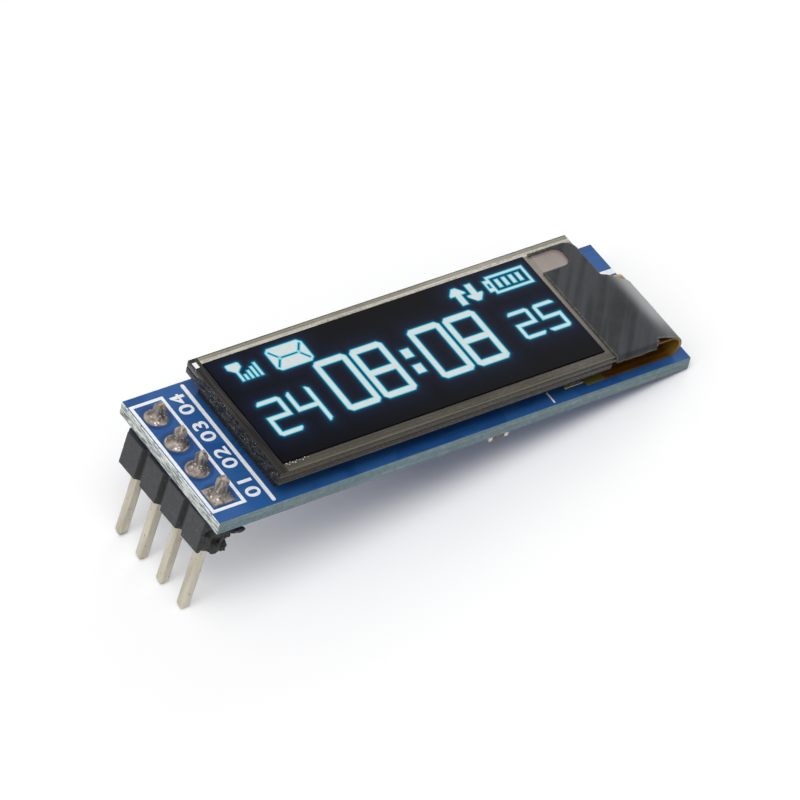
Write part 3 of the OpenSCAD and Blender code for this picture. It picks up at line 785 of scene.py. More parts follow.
class Workshop:
    """Turns meshes into pieces that ride on the part and carry a finish."""

    def __init__(self, frame: dict, finishes: dict[str, Material]) -> None:
        """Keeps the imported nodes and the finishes."""
        self.nodes: dict[str, Object] = frame["nodes"]
        self.finishes = finishes

    def copy(self, node: str) -> Mesh:
        """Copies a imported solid, with its loose triangles merged into clean faces."""
        bm = bmesh.new()
        bm.from_mesh(self.nodes[node].data)
        bmesh.ops.remove_doubles(bm, verts=bm.verts, dist=1e-7)
        bmesh.ops.dissolve_limit(bm, angle_limit=math.radians(1), verts=bm.verts, edges=bm.edges)
        return bm

    def piece(self, bm: Mesh, name: str, finish: str, replaces: Sequence[str] = (),
              smooth: float = 35.0) -> None:
        """Makes a piece from a mesh and gives it its finish and its body.

        Args:
            bm: The mesh, which is freed.
            name: The piece's name.
            finish: Name of its finish.
            replaces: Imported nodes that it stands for.
            smooth: Edges sharper than this stay sharp, in degrees.
        """
        obj = link(bm, name)
        obj.data.materials.append(self.finishes[finish])
        obj.data.polygons.foreach_set("use_smooth", [True] * len(obj.data.polygons))
        obj.data.set_sharp_from_angle(angle=math.radians(smooth))
        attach(obj, BODY)
        if replaces:
            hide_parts(*replaces)
        LOG.info("%s: %d faces", obj.name, len(obj.data.polygons))

    def rounded(self, node: str, name: str, finish: str, width: float,
                least: float = 30.0, worn: float = 20.0) -> None:
        """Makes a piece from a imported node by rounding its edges.

        Args:
            node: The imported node, which the piece replaces.
            name: The piece's name.
            finish: Name of its finish.
            width: Width of the rounding.
            least: Least angle of an edge to round, in degrees.
            worn: Least angle of an edge that wears afterwards, in degrees.
        """
        bm = self.copy(node)
        soften(bm, width, least)
        mark_edges(bm, worn)
        self.piece(bm, name, finish, [node])

    def paint(self, node: str, finish: str) -> None:
        """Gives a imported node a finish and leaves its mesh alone."""
        obj = self.nodes[node]
        if not obj.material_slots:
            obj.data.materials.append(None)
        for slot in obj.material_slots:
            slot.material = self.finishes[finish]
        LOG.info("%s: painted %s", node, finish)

    @staticmethod
    def modified(bm: Mesh, kind: str, **settings: object) -> Mesh:
        """Runs one modifier over a mesh.

        Args:
            bm: The mesh, which is freed.
            kind: The modifier's type.
            settings: The modifier's properties.

        Returns:
            A new mesh of the result.
        """
        obj = link(bm, "draft")
        modifier = obj.modifiers.new("shape", kind)
        for key, value in settings.items():
            setattr(modifier, key, value)
        made = bmesh.new()
        made.from_object(obj, bpy.context.evaluated_depsgraph_get())
        data = obj.data
        bpy.data.objects.remove(obj)
        bpy.data.meshes.remove(data)
        return made


# ---- Board ----


@dataclass
class Board:
    """The circuit board with its lacquer, ink, lands and pin numbers."""

    edge_round: float = 0.05 * MM
    lacquer_inset: float = 0.04 * MM
    label_x: float = 2.32 * MM
    label_height: float = 1.0 * MM
    label_rows: tuple[float, ...] = (-3.95 * MM, -1.15 * MM, 1.48 * MM, 4.15 * MM)
    label_thick: float = 0.012 * MM
    label_bold: float = 0.03 * MM
    label_stretch: float = 1.28
    label_gap: float = 1.12
    figure_share: float = 0.7

    def build(self, shop: Workshop) -> None:
        """Builds and dresses the board's pieces."""
        self._core(shop)
        for side in ("top", "bottom"):
            self._lacquer(shop, side)
        shop.paint("legend", "ink")
        for node in ("flex_lands", "chip_lands", *(f"plated_hole_{index}" for index in range(1, 5))):
            shop.paint(node, "tinned")
        for number, row in enumerate(self.label_rows, start=1):
            self._label(shop, number, row)

    def _core(self, shop: Workshop) -> None:
        """The sawn board, with its outer edges rounded a little."""
        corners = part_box("board_core")

        def outer(edge: Edge) -> bool:
            middle = (edge.verts[0].co + edge.verts[1].co) / 2
            return any(abs((middle - corner)[axis.value]) < 1e-5 for axis in Axis for corner in corners)

        bm = shop.copy("board_core")
        soften(bm, self.edge_round, keep=outer)
        shop.piece(bm, "board_laminate", "laminate", ["board_core"])

    def _lacquer(self, shop: Workshop, side: str) -> None:
        """One solder mask, drawn in a little from the board's edges."""
        node = f"mask_{side}"
        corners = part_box(node)
        bm = shop.copy(node)
        for vertex in bm.verts:
            for axis in Axis:
                for corner, way in zip(corners, (1, -1)):
                    if abs(vertex.co[axis.value] - corner[axis.value]) < 1e-6:
                        vertex.co[axis.value] += self.lacquer_inset * way
        shop.piece(bm, f"lacquer_{side}", "lacquer", [node])

    def _label(self, shop: Workshop, number: int, row: float) -> None:
        """A plain number beside a pin, read from the header end."""
        data = bpy.data.curves.new("label", "FONT")
        for key, value in {"body": f"0{number}", "size": self.label_height / self.figure_share,
                           "align_x": "CENTER", "align_y": "CENTER", "extrude": self.label_thick / 2,
                           "offset": self.label_bold, "space_character": self.label_gap}.items():
            setattr(data, key, value)
        text = bpy.data.objects.new("label", data)
        bpy.context.scene.collection.objects.link(text)
        flat = bpy.data.meshes.new_from_object(text.evaluated_get(bpy.context.evaluated_depsgraph_get()))
        bm = bmesh.new()
        bm.from_mesh(flat)
        bpy.data.objects.remove(text)
        bpy.data.meshes.remove(flat)
        place = Matrix.Translation((self.label_x, row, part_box("mask_top")[1].z + self.label_thick / 2))
        turn = Matrix.Rotation(math.radians(90), 4, "Z") @ Matrix.Diagonal((self.label_stretch, 1, 1, 1))
        bmesh.ops.transform(bm, matrix=place @ turn, verts=bm.verts)
        shop.piece(bm, f"pin_number_{number}", "ink")


# ---- Header ----


@dataclass
class Header:
    """The leaning pin header with its solder."""

    lean_y: float = 8.5
    lean_x: float = 2.7
    voxel: float = 0.045 * MM
    torn_from: float = -4.55 * MM
    torn_reach: float = 0.45 * MM
    torn_depth: float = 0.1 * MM
    grain_depth: float = 0.008 * MM
    web_y: float = -5.1 * MM
    web_pull: float = 0.55
    pin_round: float = 0.045 * MM
    hole_r: float = 0.545 * MM
    foot_r: float = 0.76 * MM
    foot_drop: float = 0.02 * MM
    neck_r: float = 0.35 * MM
    solder_h: float = 0.62 * MM
    lump: float = 0.13
    lump_rise: float = 0.1
    rings: int = 14

    def __post_init__(self) -> None:
        """Takes the board's thickness from the frame."""
        self.board_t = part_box("mask_top")[1].z

    def build(self, shop: Workshop) -> None:
        """Builds and dresses the header's pieces."""
        self._strip(shop)
        for index in range(1, 5):
            shop.rounded(f"header_pin_{index}", f"pin_{index}", "pin", self.pin_round,
                         least=12.0, worn=10.0)
            self._solder(shop, index)

    def _strip(self, shop: Workshop) -> None:
        """The moulded strip with soft edges, its torn end and the web left on it."""
        lean = (Matrix.Translation((0, 0, self.board_t / 2))
                @ Matrix.Rotation(math.radians(-self.lean_x), 4, "X")
                @ Matrix.Rotation(math.radians(self.lean_y), 4, "Y"))
        bm = shop.copy("header_strip")
        bmesh.ops.transform(bm, matrix=lean.inverted(), verts=bm.verts)
        bmesh.ops.triangulate(bm, faces=bm.faces)
        bm = shop.modified(bm, "REMESH", mode="VOXEL", voxel_size=self.voxel, use_smooth_shade=False)
        for vertex in bm.verts:
            pull = self.web_pull * max(0.0, self.web_y - vertex.co.y)
            vertex.co += Vector((pull / 2, -pull, 0))
        crumple(bm, self.torn_depth, 1900.0, 3.0, self._torn)
        crumple(bm, self.torn_depth * 0.7, 6500.0, 8.0, self._torn)
        crumple(bm, self.grain_depth, 5000.0, 1.0)
        layer = bm.verts.layers.float.new("edge")
        for vertex in bm.verts:
            vertex[layer] = self._torn(vertex.co)
        bmesh.ops.transform(bm, matrix=lean, verts=bm.verts)
        shop.piece(bm, "strip_moulding", "strip", ["header_strip"], smooth=60)

    def _torn(self, place: Vector) -> float:
        """Gives 0 on the moulded blocks and 1 on the torn end."""
        return unit((self.torn_from - place.y) / self.torn_reach)

    def _solder(self, shop: Workshop, index: int) -> None:
        """Solder spun round the pin, then made uneven, with a tail in the hole."""
        shares = [ring / self.rings for ring in range(self.rings + 1)]
        outline = [(self.hole_r, -self.board_t), (self.hole_r, -1.5 * self.foot_drop),
                   (self.foot_r * 0.7, -self.foot_drop), (self.foot_r, -self.foot_drop),
                   *((self._reach(share), share * self.solder_h) for share in shares),
                   (self.neck_r * 0.6, self.solder_h * 0.99)]
        bm = bmesh.new()
        chain = [bm.verts.new((x, 0.0, z)) for x, z in outline]
        edges = [bm.edges.new(pair) for pair in zip(chain, chain[1:])]
        bmesh.ops.spin(bm, geom=chain + edges, cent=(0, 0, 0), axis=(0, 0, 1), angle=math.tau, steps=56,
                       use_merge=True)
        bmesh.ops.remove_doubles(bm, verts=bm.verts, dist=1e-7)
        close(bm)
        lean = Vector((math.tan(math.radians(self.lean_y)), math.tan(math.radians(self.lean_x))))
        for vertex in bm.verts:
            if vertex.co.z < -1.25 * self.foot_drop:
                continue
            low = 1.0 - unit(vertex.co.z / self.solder_h)
            if index == 1:
                widest = max(abs(vertex.co.x), abs(vertex.co.y), 1e-9)
                vertex.co.xy *= 1 + (vertex.co.xy.length / widest - 1) * low ** 3
            lump = noise_at(vertex.co, 1500.0, index * 7.0) + 0.5 * noise_at(vertex.co, 3800.0, index * 3.0)
            vertex.co.xy *= 1 + self.lump * lump * (0.35 + low)
            vertex.co.z += self.solder_h * self.lump_rise * lump * (1 - low)
            vertex.co.xy += lean * vertex.co.z
        near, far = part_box(f"plated_hole_{index}")
        shift = Vector((lean.x * self.board_t / 2, (near.y + far.y) / 2, self.board_t))
        bmesh.ops.translate(bm, vec=shift, verts=bm.verts)
        shop.piece(bm, f"solder_{index}", "solder", [f"solder_joint_{index}"], smooth=50)

    def _reach(self, share: float) -> float:
        """Radius of the solder at a share of its height: a hollow cone."""
        return self.neck_r + (self.foot_r - self.neck_r) * (1 - share) ** 2.2


# ---- Panel ----


@dataclass
class Panel:
    """The glass sandwich on its foam, with the film that shows the picture."""

    glass_round: float = 0.045 * MM
    film_round: float = 0.03 * MM
    columns: int = 320
    rows: int = 122
    rim: float = 0.09 * MM
    lift: float = 0.004 * MM
    halo_reach: float = 0.075 * MM
    wash_reach: float = 0.95 * MM
    foam_depth: float = 0.07 * MM
    foam_cuts: int = 44
    crumbs: int = 11

    def build(self, shop: Workshop) -> None:
        """Builds and dresses the panel's pieces."""
        for seed, node in enumerate(("foam_header_end", "foam_middle")):
            self._foam(shop, node, seed)
        shop.rounded("cap_glass", "lower_plate", "lower_glass", self.glass_round)
        shop.rounded("substrate_glass", "upper_plate", "upper_glass", self.glass_round)
        for node, finish in (("edge_seal", "seal"), ("pixel_layer", "pixel"), ("driver_chip", "silicon")):
            shop.paint(node, finish)
        self._film(shop)
        self._lit(shop)
        self._crumbs(shop)

    def _foam(self, shop: Workshop, node: str, seed: int) -> None:
        """A foam strip whose cut sides show their cells."""
        low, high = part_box(node)
        bm = bmesh.new()
        bmesh.ops.create_cube(bm, size=1.0, matrix=Matrix.Translation((low + high) / 2)
                              @ Matrix.Diagonal((*(high - low), 1)))
        bmesh.ops.subdivide_edges(bm, edges=bm.edges, cuts=self.foam_cuts, use_grid_fill=True)

        def inside(place: Vector) -> float:
            return unit(min(place.z - low.z, high.z - place.z) / (0.1 * MM) + 0.1)

        crumple(bm, self.foam_depth, 4200.0, 5.0 + seed, inside)
        crumple(bm, self.foam_depth, 1500.0, 9.0 + seed, inside)
        for vertex in bm.verts:
            vertex.co = Vector([min(max(c, a), b) for c, a, b in zip(vertex.co, low, high)])
        shop.piece(bm, f"{node}_pad", "foam", [node], smooth=70)

    def _film(self, shop: Workshop) -> None:
        """The polariser as a fine grid that carries the spread of the picture's light."""
        low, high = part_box("polariser")
        lit = shop.copy("lit_picture")
        bmesh.ops.triangulate(lit, faces=lit.faces)
        tree = BVHTree.FromBMesh(lit)
        lit.free()
        lit_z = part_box("lit_picture")[1].z
        inset = Vector((self.film_round, self.film_round, 0))
        bm = sheet(low + inset, high - inset, high.z, self.columns, self.rows)
        halo = bm.verts.layers.float.new("halo")
        wash = bm.verts.layers.float.new("wash")
        for vertex in bm.verts:
            gap = tree.find_nearest(Vector((vertex.co.x, vertex.co.y, lit_z)))[3]
            vertex[halo] = math.exp(-gap / self.halo_reach)
            vertex[wash] = math.exp(-(gap / self.wash_reach) ** 1.3)
        for vertex in skirt(bm):
            for axis in Axis:
                for corner in (low[axis.value], high[axis.value]):
                    if abs(vertex.co[axis.value] - corner) < 1.5 * self.film_round:
                        vertex.co[axis.value] = corner
            vertex.co.z = high.z - self.film_round
        for vertex in skirt(bm):
            vertex.co.z = low.z
        close(bm)
        shop.piece(bm, "polariser_film", "polariser", ["polariser"])

    def _lit(self, shop: Workshop) -> None:
        """The lit picture with a rim inset all round its strokes."""
        bm = shop.copy("lit_picture")
        bm.normal_update()
        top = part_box("lit_picture")[1].z
        bmesh.ops.delete(bm, geom=[f for f in bm.faces if f.normal.z < 0.9], context="FACES")
        layer = bm.verts.layers.float.new("core")
        inner = list(bm.faces)
        bmesh.ops.inset_region(bm, faces=inner, thickness=self.rim, depth=0.0, use_boundary=True,
                               use_even_offset=True)
        for vertex in {v for face in inner for v in face.verts}:
            vertex[layer] = 1.0
        raised = new_verts(bmesh.ops.extrude_face_region(bm, geom=list(bm.faces)))
        for vertex in bm.verts:
            vertex.co.z = top - self.lift
        for vertex in raised:
            vertex.co.z = top + self.lift
        bmesh.ops.recalc_face_normals(bm, faces=bm.faces)
        shop.piece(bm, "picture_dots", "lit", ["lit_picture"])

    def _crumbs(self, shop: Workshop) -> None:
        """Chips of glass and glue along the film's near corner by the header."""
        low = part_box("polariser")[0]
        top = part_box("substrate_glass")[1].z
        bm = bmesh.new()
        for k in range(self.crumbs):
            along = 0.2 * MM + 1.9 * MM * (k / self.crumbs) ** 1.4
            back = (0.05 + 0.07 * (k % 3)) * MM
            size = (0.035 + 0.045 * abs(noise_at(Vector((k, 0, 0)) * MM, 700.0, 2.0))) * MM
            place = Vector((low.x + along, low.y - back, top + size * 0.3))
            made = bmesh.ops.create_icosphere(bm, subdivisions=2, radius=size,
                                              matrix=Matrix.Translation(place))
            for vertex in made["verts"]:
                vertex.co += (vertex.co - place) * 0.5 * noise_at(vertex.co, 16000.0, k)
        shop.piece(bm, "margin_crumbs", "crumb")


# ---- Flex and tape ----


@dataclass(frozen=True)
class Corner:
    """A rounded corner of the flat tape: its arc's centre and radius, and +1 or -1 for its side in Y."""

    x: float
    y: float
    radius: float
    side: int
    cuts: int = 9

    def outside(self, place: Vector) -> bool:
        """Says whether a place lies in the corner but beyond the arc."""
        beyond = place.x > self.x and (place.y - self.y) * self.side > 0
        return beyond and (place - Vector((self.x, self.y, 0))).length >= self.radius

    def trim(self, bm: Mesh, cell: float) -> None:
        """Cuts a flat sheet of a cell size along the arc."""
        centre = Vector((self.x, self.y, 0))
        for k in range(self.cuts):
            angle = math.radians(90 * (k + 0.5) / self.cuts) * self.side
            out = Vector((math.cos(angle), math.sin(angle), 0))
            near = []
            for face in bm.faces:
                away = face.calc_center_median() - centre
                if away.x > -cell and away.y * self.side > -cell and away.length < self.radius * 1.6:
                    near.append(face)
            cut(bm, centre + out * self.radius, out, near)


@dataclass
class Tape:
    """The dark tape over the chip and the fold, bent from one flat sheet."""

    flap: float = 0.5 * MM
    flap_short: float = 0.3 * MM
    flap_turn: float = 0.12 * MM
    taper: float = 1.1 * MM
    corner: float = 0.9 * MM
    window_x: float = 2.45 * MM
    window_far: float = 0.22 * MM
    window_w: float = 1.73 * MM
    window_round: float = 0.7 * MM
    cell: float = 0.16 * MM
    thick: float = 0.09 * MM
    overhang: float = 0.6 * MM
    fold_past: float = 1.4 * MM
    pull: float = 0.45 * MM
    meet: float = 74.0
    arc_step: float = 7.6
    steps: int = 12
    wave: float = 0.03 * MM
    fray_out: float = 0.16 * MM
    fray_up: float = 0.1 * MM

    def __post_init__(self) -> None:
        """Takes the tape's place from the frame and lays out its flat form."""
        glass_low, glass_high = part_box("substrate_glass")
        tape_low, tape_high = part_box("shield_tape")
        flex_low, flex_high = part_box("flex_cable")
        self.near, self.far = glass_low.y, tape_high.y
        self.flex_y = (flex_low.y, flex_high.y)
        self.route = self._lay(Vector((tape_low.x, 0, glass_high.z)), glass_high.x, flex_low.z, flex_high.z)
        gaps = [(b - a).length for a, b in zip(self.route, self.route[1:])]
        self.marks = [0.0, *np.cumsum(gaps)]
        self.length = float(self.marks[-1])
        self.ledge = glass_high.x - tape_low.x
        self.window = (self.far - self.window_far - self.window_w, self.far - self.window_far)
        round_x = self.window_x - self.window_round
        self.window_corners = [Corner(round_x, edge - side * self.window_round, self.window_round, side)
                               for edge, side in ((self.window[1], 1), (self.window[0], -1))]
        self.end_corner = Corner(self.ledge - self.corner, self.far - self.corner, self.corner, 1)

    def _lay(self, start: Vector, glass_x: float, flex_low: float, flex_high: float) -> list[Vector]:
        """Lays out the route of the tape's underside.

        Args:
            start: Where it begins on the ledge.
            glass_x: The glass's far end.
            flex_low: Height of the flex's underside.
            flex_high: Height of its top over the fold.

        Returns:
            The route's points: along the ledge, down a curve and round the fold.
        """
        fold_r = (flex_high - flex_low) / 2
        fold = Vector((glass_x + self.fold_past, 0, flex_low + fold_r))
        meet = math.radians(self.meet)
        out = Vector((math.cos(meet), 0, math.sin(meet)))
        first = Vector((glass_x - 0.05 * MM, 0, start.z))
        last = fold + out * fold_r
        route = [start, *interpolate_bezier(first, first + Vector((self.overhang, 0, 0)),
                                            last - Vector((out.z, 0, -out.x)) * self.pull, last, self.steps)]
        for k in range(1, self.steps + 1):
            angle = meet - math.radians(self.arc_step * k)
            route.append(fold + Vector((math.cos(angle), 0, math.sin(angle))) * fold_r)
        return route

    def bend(self, place: Vector) -> Vector:
        """Maps a place on the flat sheet to the bent tape.

        Args:
            place: Distance along the tape in x, place across it in y.

        Returns:
            The place in the part's frame.
        """
        x, z = (float(np.interp(place.x, self.marks, [p[axis] for p in self.route])) for axis in (0, 2))
        over = max(0.0, self.near - place.y)
        turn = min(over / self.flap_turn, math.pi / 2)
        down = self.flap_turn * (1 - math.cos(turn)) + max(0.0, over - self.flap_turn * math.pi / 2)
        y = self.near - self.flap_turn * math.sin(turn) * 0.6 if over else place.y
        return Vector((x, y, z - down))

    def build(self, shop: Workshop) -> None:
        """Builds and dresses the tape."""
        low_y = self.near - self.flap
        bm = sheet((0, low_y), (self.length, self.far), 0.0, round(self.length / self.cell),
                   round((self.far - low_y) / self.cell))
        for x in (self.ledge, self.ledge - self.flap_short, self.window_x):
            cut(bm, Vector((x, 0, 0)), Vector((1, 0, 0)))
        for y in (self.near, self.flex_y[0], *self.window):
            cut(bm, Vector((0, y, 0)), Vector((0, 1, 0)))
        cut(bm, Vector((self.ledge, self.flex_y[1], 0)), Vector((-self.taper, self.ledge - self.length, 0)))
        for corner in (self.end_corner, *self.window_corners):
            corner.trim(bm, self.cell)
        gone = [f for f in bm.faces if not self._kept(f.calc_center_median())]
        bmesh.ops.delete(bm, geom=gone, context="FACES")
        layer = bm.verts.layers.float.new("edge")
        for vertex in bm.verts:
            flat = vertex.co.copy()
            vertex[layer] = float(any(e.is_boundary for e in vertex.link_edges))
            loose = max(0.0, (self.near - flat.y) / self.flap)
            past = max(0.0, (flat.x - self.ledge) / (self.length - self.ledge))
            vertex.co = self.bend(flat)
            vertex.co.z += self.wave * past * noise_at(flat, 420.0, 4.0)
            vertex.co.y -= self.fray_out * loose * abs(noise_at(flat, 1500.0, 2.0))
            vertex.co.z += self.fray_up * loose * noise_at(flat, 1700.0, 6.0)
        bmesh.ops.recalc_face_normals(bm, faces=bm.faces)
        if sum(f.normal.z for f in bm.faces) < 0:
            bmesh.ops.reverse_faces(bm, faces=bm.faces)
        bm = shop.modified(bm, "SOLIDIFY", thickness=self.thick, offset=1.0)
        shop.piece(bm, "shade_tape", "tape", ["shield_tape"], smooth=40)

    def _kept(self, place: Vector) -> bool:
        """Says whether a bit of the flat sheet is part of the tape."""
        if place.y < self.near:
            return place.x < self.ledge - self.flap_short
        if place.x > self.ledge:
            share = (place.x - self.ledge) / (self.length - self.ledge)
            return self.flex_y[0] < place.y < self.flex_y[1] - self.taper * share
        if place.x < self.window_x and self.window[0] < place.y < self.window[1]:
            return any(corner.outside(place) for corner in self.window_corners)
        return not self.end_corner.outside(place)


@dataclass
class Flex:
    """The folded flex cable and its fingers."""

    finger_round: float = 0.03 * MM

    def build(self, shop: Workshop) -> None:
        """Dresses the cable and rounds its fingers."""
        shop.paint("flex_cable", "flex")
        shop.rounded("flex_fingers", "fingers", "finger", self.finger_round)


# ---- Underside ----


@dataclass
class Underside:
    """The chips and the regulator under the board."""

    chip_round: float = 0.04 * MM
    end_round: float = 0.05 * MM
    moulding_round: float = 0.07 * MM
    lead_round: float = 0.03 * MM

    def build(self, shop: Workshop) -> None:
        """Builds and dresses the small parts."""
        for kind, count, finish, slot in (("capacitor", 6, "ceramic", "capacitor_ceramic"),
                                          ("resistor", 4, "resistor", "resistor_top")):
            for index in range(1, count + 1):
                node = f"{kind}_{index}"
                shop.rounded(node, f"{node}_body", finish, self.chip_round)
        shop.rounded("chip_terminals", "chip_ends", "terminal", self.end_round)
        shop.rounded("regulator_body", "regulator_moulding", "moulding", self.moulding_round)
        shop.rounded("regulator_leads", "regulator_feet", "lead", self.lead_round)


# ---- Studio ----


@dataclass
class Studio:
    """The floor, the light and the camera."""

    eye: Triple = (-166.028, -194.075, 252.306)
    forward: Triple = (0.49819, 0.52778, -0.68793)
    upward: Triple = (0.28338, 0.65072, 0.70445)
    lens: float = 249.5
    floor_normal: Triple = (-0.2145, 0.046, 0.9756)
    floor_offset: float = -8.16 * MM
    floor_size: float = 1.6
    floor_colour: Colour = (0.97, 0.97, 0.975, 1.0)
    # Painted light on the floor that lifts the shadow towards the header end.
    shadow_lift: tuple[float, float, float] = (18 * MM, 0.3, 0.0)
    world: float = 0.42
    target: Triple = (0.017, 0.0, 0.0)

    def build(self) -> None:
        """Sets up everything that isn't the part."""
        scene = bpy.context.scene
        scene.view_settings.view_transform = "Standard"
        self._camera(scene)
        self._floor()
        self._sky(scene)
        self._lamp("key_panel", (-0.13, -0.06, 0.42), 0.3, 1.25)
        self._lamp("fill_panel", (-0.34, 0.04, 0.20), 0.25, 0.2)
        self._lamp("rim_panel", (0.30, 0.22, 0.22), 0.2, 0.25)

    def _camera(self, scene: bpy.types.Scene) -> None:
        """Places the camera."""
        data = bpy.data.cameras.new("view")
        data.lens = self.lens
        data.sensor_width = 36.0
        data.clip_start = 0.01
        data.clip_end = 10.0
        camera = bpy.data.objects.new("view", data)
        scene.collection.objects.link(camera)
        back = -Vector(self.forward).normalized()
        right = Vector(self.upward).cross(back).normalized()
        turn = Matrix((right, back.cross(right), back)).transposed().to_4x4()
        camera.matrix_world = Matrix.Translation(Vector(self.eye) * MM) @ turn
        scene.camera = camera

    def _floor(self) -> None:
        """A pale floor under the pins' tips and the board's low corner, tilted as the part rests."""
        normal = Vector(self.floor_normal).normalized()
        turn = normal.to_track_quat("Z", "Y").to_matrix().to_4x4()
        half = self.floor_size / 2
        bm = sheet((-half, -half), (half, half), 0.0, 1, 1)
        bmesh.ops.transform(bm, matrix=Matrix.Translation(normal * self.floor_offset) @ turn, verts=bm.verts)
        floor = link(bm, "floor")
        floor.data.materials.append(self._floor_material())

    def _floor_material(self) -> Material:
        """A white floor that keeps the part's shadow, with painted light that lifts the shadow towards the
        header end.
        """
        material = bpy.data.materials.new("floor_white")
        material.use_nodes = True
        graph = Graph(material.node_tree)
        diffuse = graph.add("ShaderNodeBsdfDiffuse")
        diffuse.inputs["Color"].default_value = self.floor_colour
        light = graph.add("ShaderNodeEmission")
        light.inputs["Strength"].default_value = 1.0
        mixer = graph.add("ShaderNodeMixShader")
        # The floor's own light grows towards the header end: painted light over the shadow there.
        reach, near, far = self.shadow_lift
        share = graph.times(graph.seen(), graph.span(graph.parts("Object")[0], 0.0, reach, near, far))
        for socket, value in zip(mixer.inputs, (share, diffuse.outputs[0], light.outputs[0])):
            graph.feed(socket, value)
        graph.output(mixer)
        return material

    def _sky(self, scene: bpy.types.Scene) -> None:
        """An even pale sky that is white to the eye and in reflections."""
        scene.world = bpy.data.worlds.new("studio")
        scene.world.use_nodes = True
        graph = Graph(scene.world.node_tree)
        shader = graph.add("ShaderNodeBackground")
        shader.inputs["Color"].default_value = WHITE
        graph.feed(shader.inputs["Strength"], graph.span(graph.seen(), 0.0, 1.0, self.world, 1.0))
        graph.output(shader, "ShaderNodeOutputWorld")

    def _lamp(self, name: str, place: Triple, size: float, power: float) -> None:
        """Adds a soft square lamp that looks at the part."""
        data = bpy.data.lights.new(name, "AREA")
        data.size = size
        data.energy = power
        lamp = bpy.data.objects.new(name, data)
        bpy.context.scene.collection.objects.link(lamp)
        aim = Vector(place) - Vector(self.target)
        lamp.matrix_world = Matrix.Translation(place) @ aim.to_track_quat("Z", "Y").to_matrix().to_4x4()


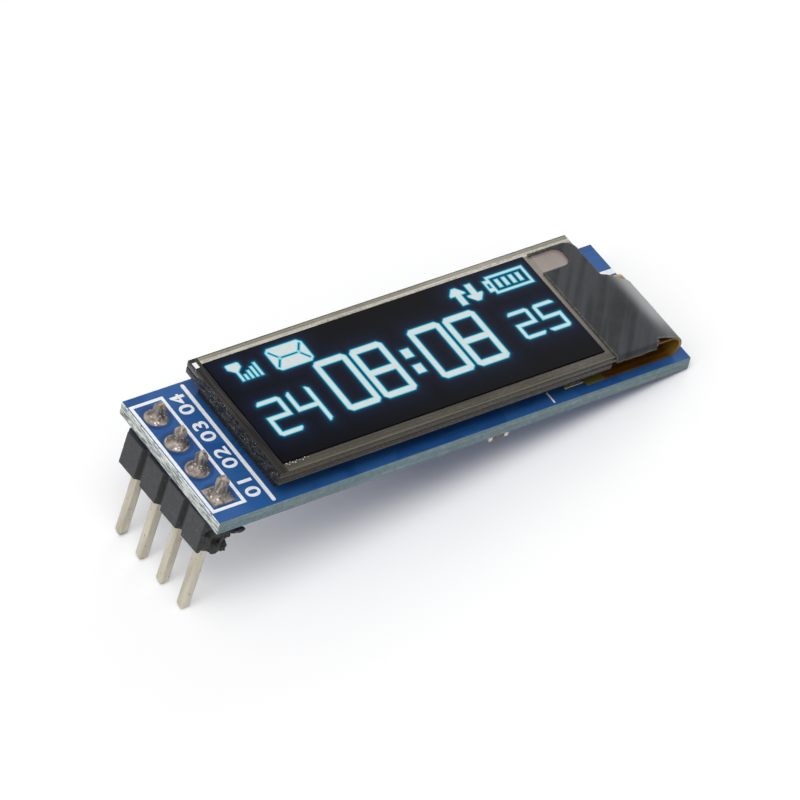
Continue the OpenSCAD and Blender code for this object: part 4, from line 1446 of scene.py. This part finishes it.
def make_finishes() -> dict[str, Material]:
    """Builds every finish by name."""
    effects = Effects()
    low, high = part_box("substrate_glass")
    span = {"low": tuple(low), "high": tuple(high)}
    finishes = [
        Laminate("laminate", "6a8089", "83949a", scale=3600.0, rough=(0.6, 0.85), specular=0.2, depth=1.2e-5),
        Lacquer("lacquer", "1e4a86", "23528f", scale=900.0, rough=(0.3, 0.4), specular=0.15, depth=1e-6,
                cover=0.004, speck_and_glint="5f86bd", speck_scale=5000.0),
        Finish("ink", "eef0f2", "dfe3e8", scale=3500.0, rough=(0.5, 0.7), depth=3e-6),
        Finish("tinned", "a69c90", "80766c", scale=2500.0, rough=(0.3, 0.5), metal=0.8, depth=4e-6),
        # The strip's side flanks carry painted shade.
        Moulding("strip", "2c2d30", "36373b", scale=2600.0, rough=(0.45, 0.7), depth=8e-6, cover=0.05,
                 speck_and_glint="606266", speck_scale=11000.0, edge="131314", wear=0.7),
        PinMetal("pin", "d0cab9", "b3ab98", scale=1400.0, stretch=(1.0, 1.0, 0.12), rough=(0.3, 0.5),
                 metal=0.6, depth=5e-6, cover=0.07, speck_and_glint="80776a", speck_scale=6500.0, edge="d6d1c4",
                 wear=0.3),
        # Its specks are painted glints.
        Finish("solder", "a1968d", "574e48", scale=3000.0, rough=(0.2, 0.5), metal=0.6, depth=4e-5,
               cover=0.22, speck_and_glint="e0d8d0", speck_scale=5200.0),
        # Its specks are painted glints.
        Finish("foam", "1a1a1b", "0c0c0d", scale=3600.0, rough=(0.75, 0.95), depth=3e-5, cover=0.07,
               speck_and_glint="5d5e60", speck_scale=8000.0),
        PlateGlass("upper_glass", "4d4940", "3b3831", scale=700.0, rough=(0.12, 0.2), specular=0.2,
                   depth=5e-7, pale_patch_share=1.0, **span),
        # The lower plate is the same glass painted darker: painted shade.
        PlateGlass("lower_glass", "3a372f", "3b372f", scale=700.0, rough=(0.2, 0.3), specular=0.15,
                   depth=5e-7, edge_side="25231e", reflection_line="45413a", **span),
        Finish("seal", "3a3833", "2c2a26", scale=2000.0, rough=(0.5, 0.7)),
        Finish("pixel", "0f1118", "15171f", scale=1500.0, rough=(0.2, 0.3)),
        Finish("silicon", "3c3f45", "4a4d54", scale=900.0, rough=(0.15, 0.25), coat=0.5, depth=5e-7),
        PolariserFilm("polariser", "060608", "08080a", scale=500.0, rough=(0.1, 0.18), specular=0.03,
                      depth=3e-7),
        LitDots("lit", "0c0c0e", "101012", scale=1500.0, rough=(0.3, 0.4), specular=0.04),
        Finish("crumb", "d9d6cf", "a9a498", scale=9000.0, rough=(0.3, 0.6)),
        TapeFilm("tape", "141618", "303236", scale=800.0, rough=(0.45, 0.55), specular=0.2, depth=3e-6,
                 edge="a49994", wear=0.3),
        FlexFilm("flex", "5e3d12", "6e4a18", scale=900.0, rough=(0.25, 0.4), specular=0.2, depth=1e-6),
        Finish("finger", "c6c0b0", "a39c8a", scale=3000.0, rough=(0.3, 0.5), metal=0.7, depth=4e-6),
        # The brown is darker than the ceramic's own: painted shade on chips that sit in the board's shadow.
        Finish("ceramic", "6e5540", "5c4634", scale=3500.0, rough=(0.45, 0.65), depth=4e-6, cover=0.05,
               speck_and_glint="86694f", speck_scale=14000.0, edge="8a6d54", wear=0.4),
        Resistor("resistor", "e4e1da", "d2cec4", scale=3000.0, rough=(0.35, 0.55), depth=3e-6, edge="55565a",
                 wear=0.4),
        Finish("terminal", "e2dad5", "bfb7b0", scale=3000.0, rough=(0.25, 0.45), metal=0.85, depth=6e-6,
               edge="e2dfd9", wear=0.4),
        Finish("moulding", "242426", "2e2e31", scale=4200.0, rough=(0.55, 0.75), depth=6e-6, cover=0.04,
               speck_and_glint="4c4c50", edge="47474a", wear=0.5),
        Finish("lead", "c4c1ba", "a19d95", scale=2500.0, stretch=(0.3, 1.0, 1.0), rough=(0.25, 0.45),
               metal=0.85, depth=4e-6, edge="e0ddd6", wear=0.4),
    ]
    return {finish.name: finish.build(effects) for finish in finishes}


def plain(bounds: Iterable[Iterable[float]]) -> list[list[float]]:
    """Turns a pair of corners into plain lists of numbers."""
    return [[float(c) for c in corner] for corner in bounds]


def main() -> None:
    """Builds the studio and every sub-assembly in order."""
    logging.basicConfig(level=logging.INFO, format="%(name)s %(message)s")
    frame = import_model()
    Studio().build()
    shop = Workshop(frame, make_finishes())
    for part in (Board(), Header(), Panel(), Tape(), Flex(), Underside()):
        LOG.info("building %s", type(part).__name__)
        part.build(shop)
    bpy.context.view_layer.update()


if __name__ == "__main__":
    main()
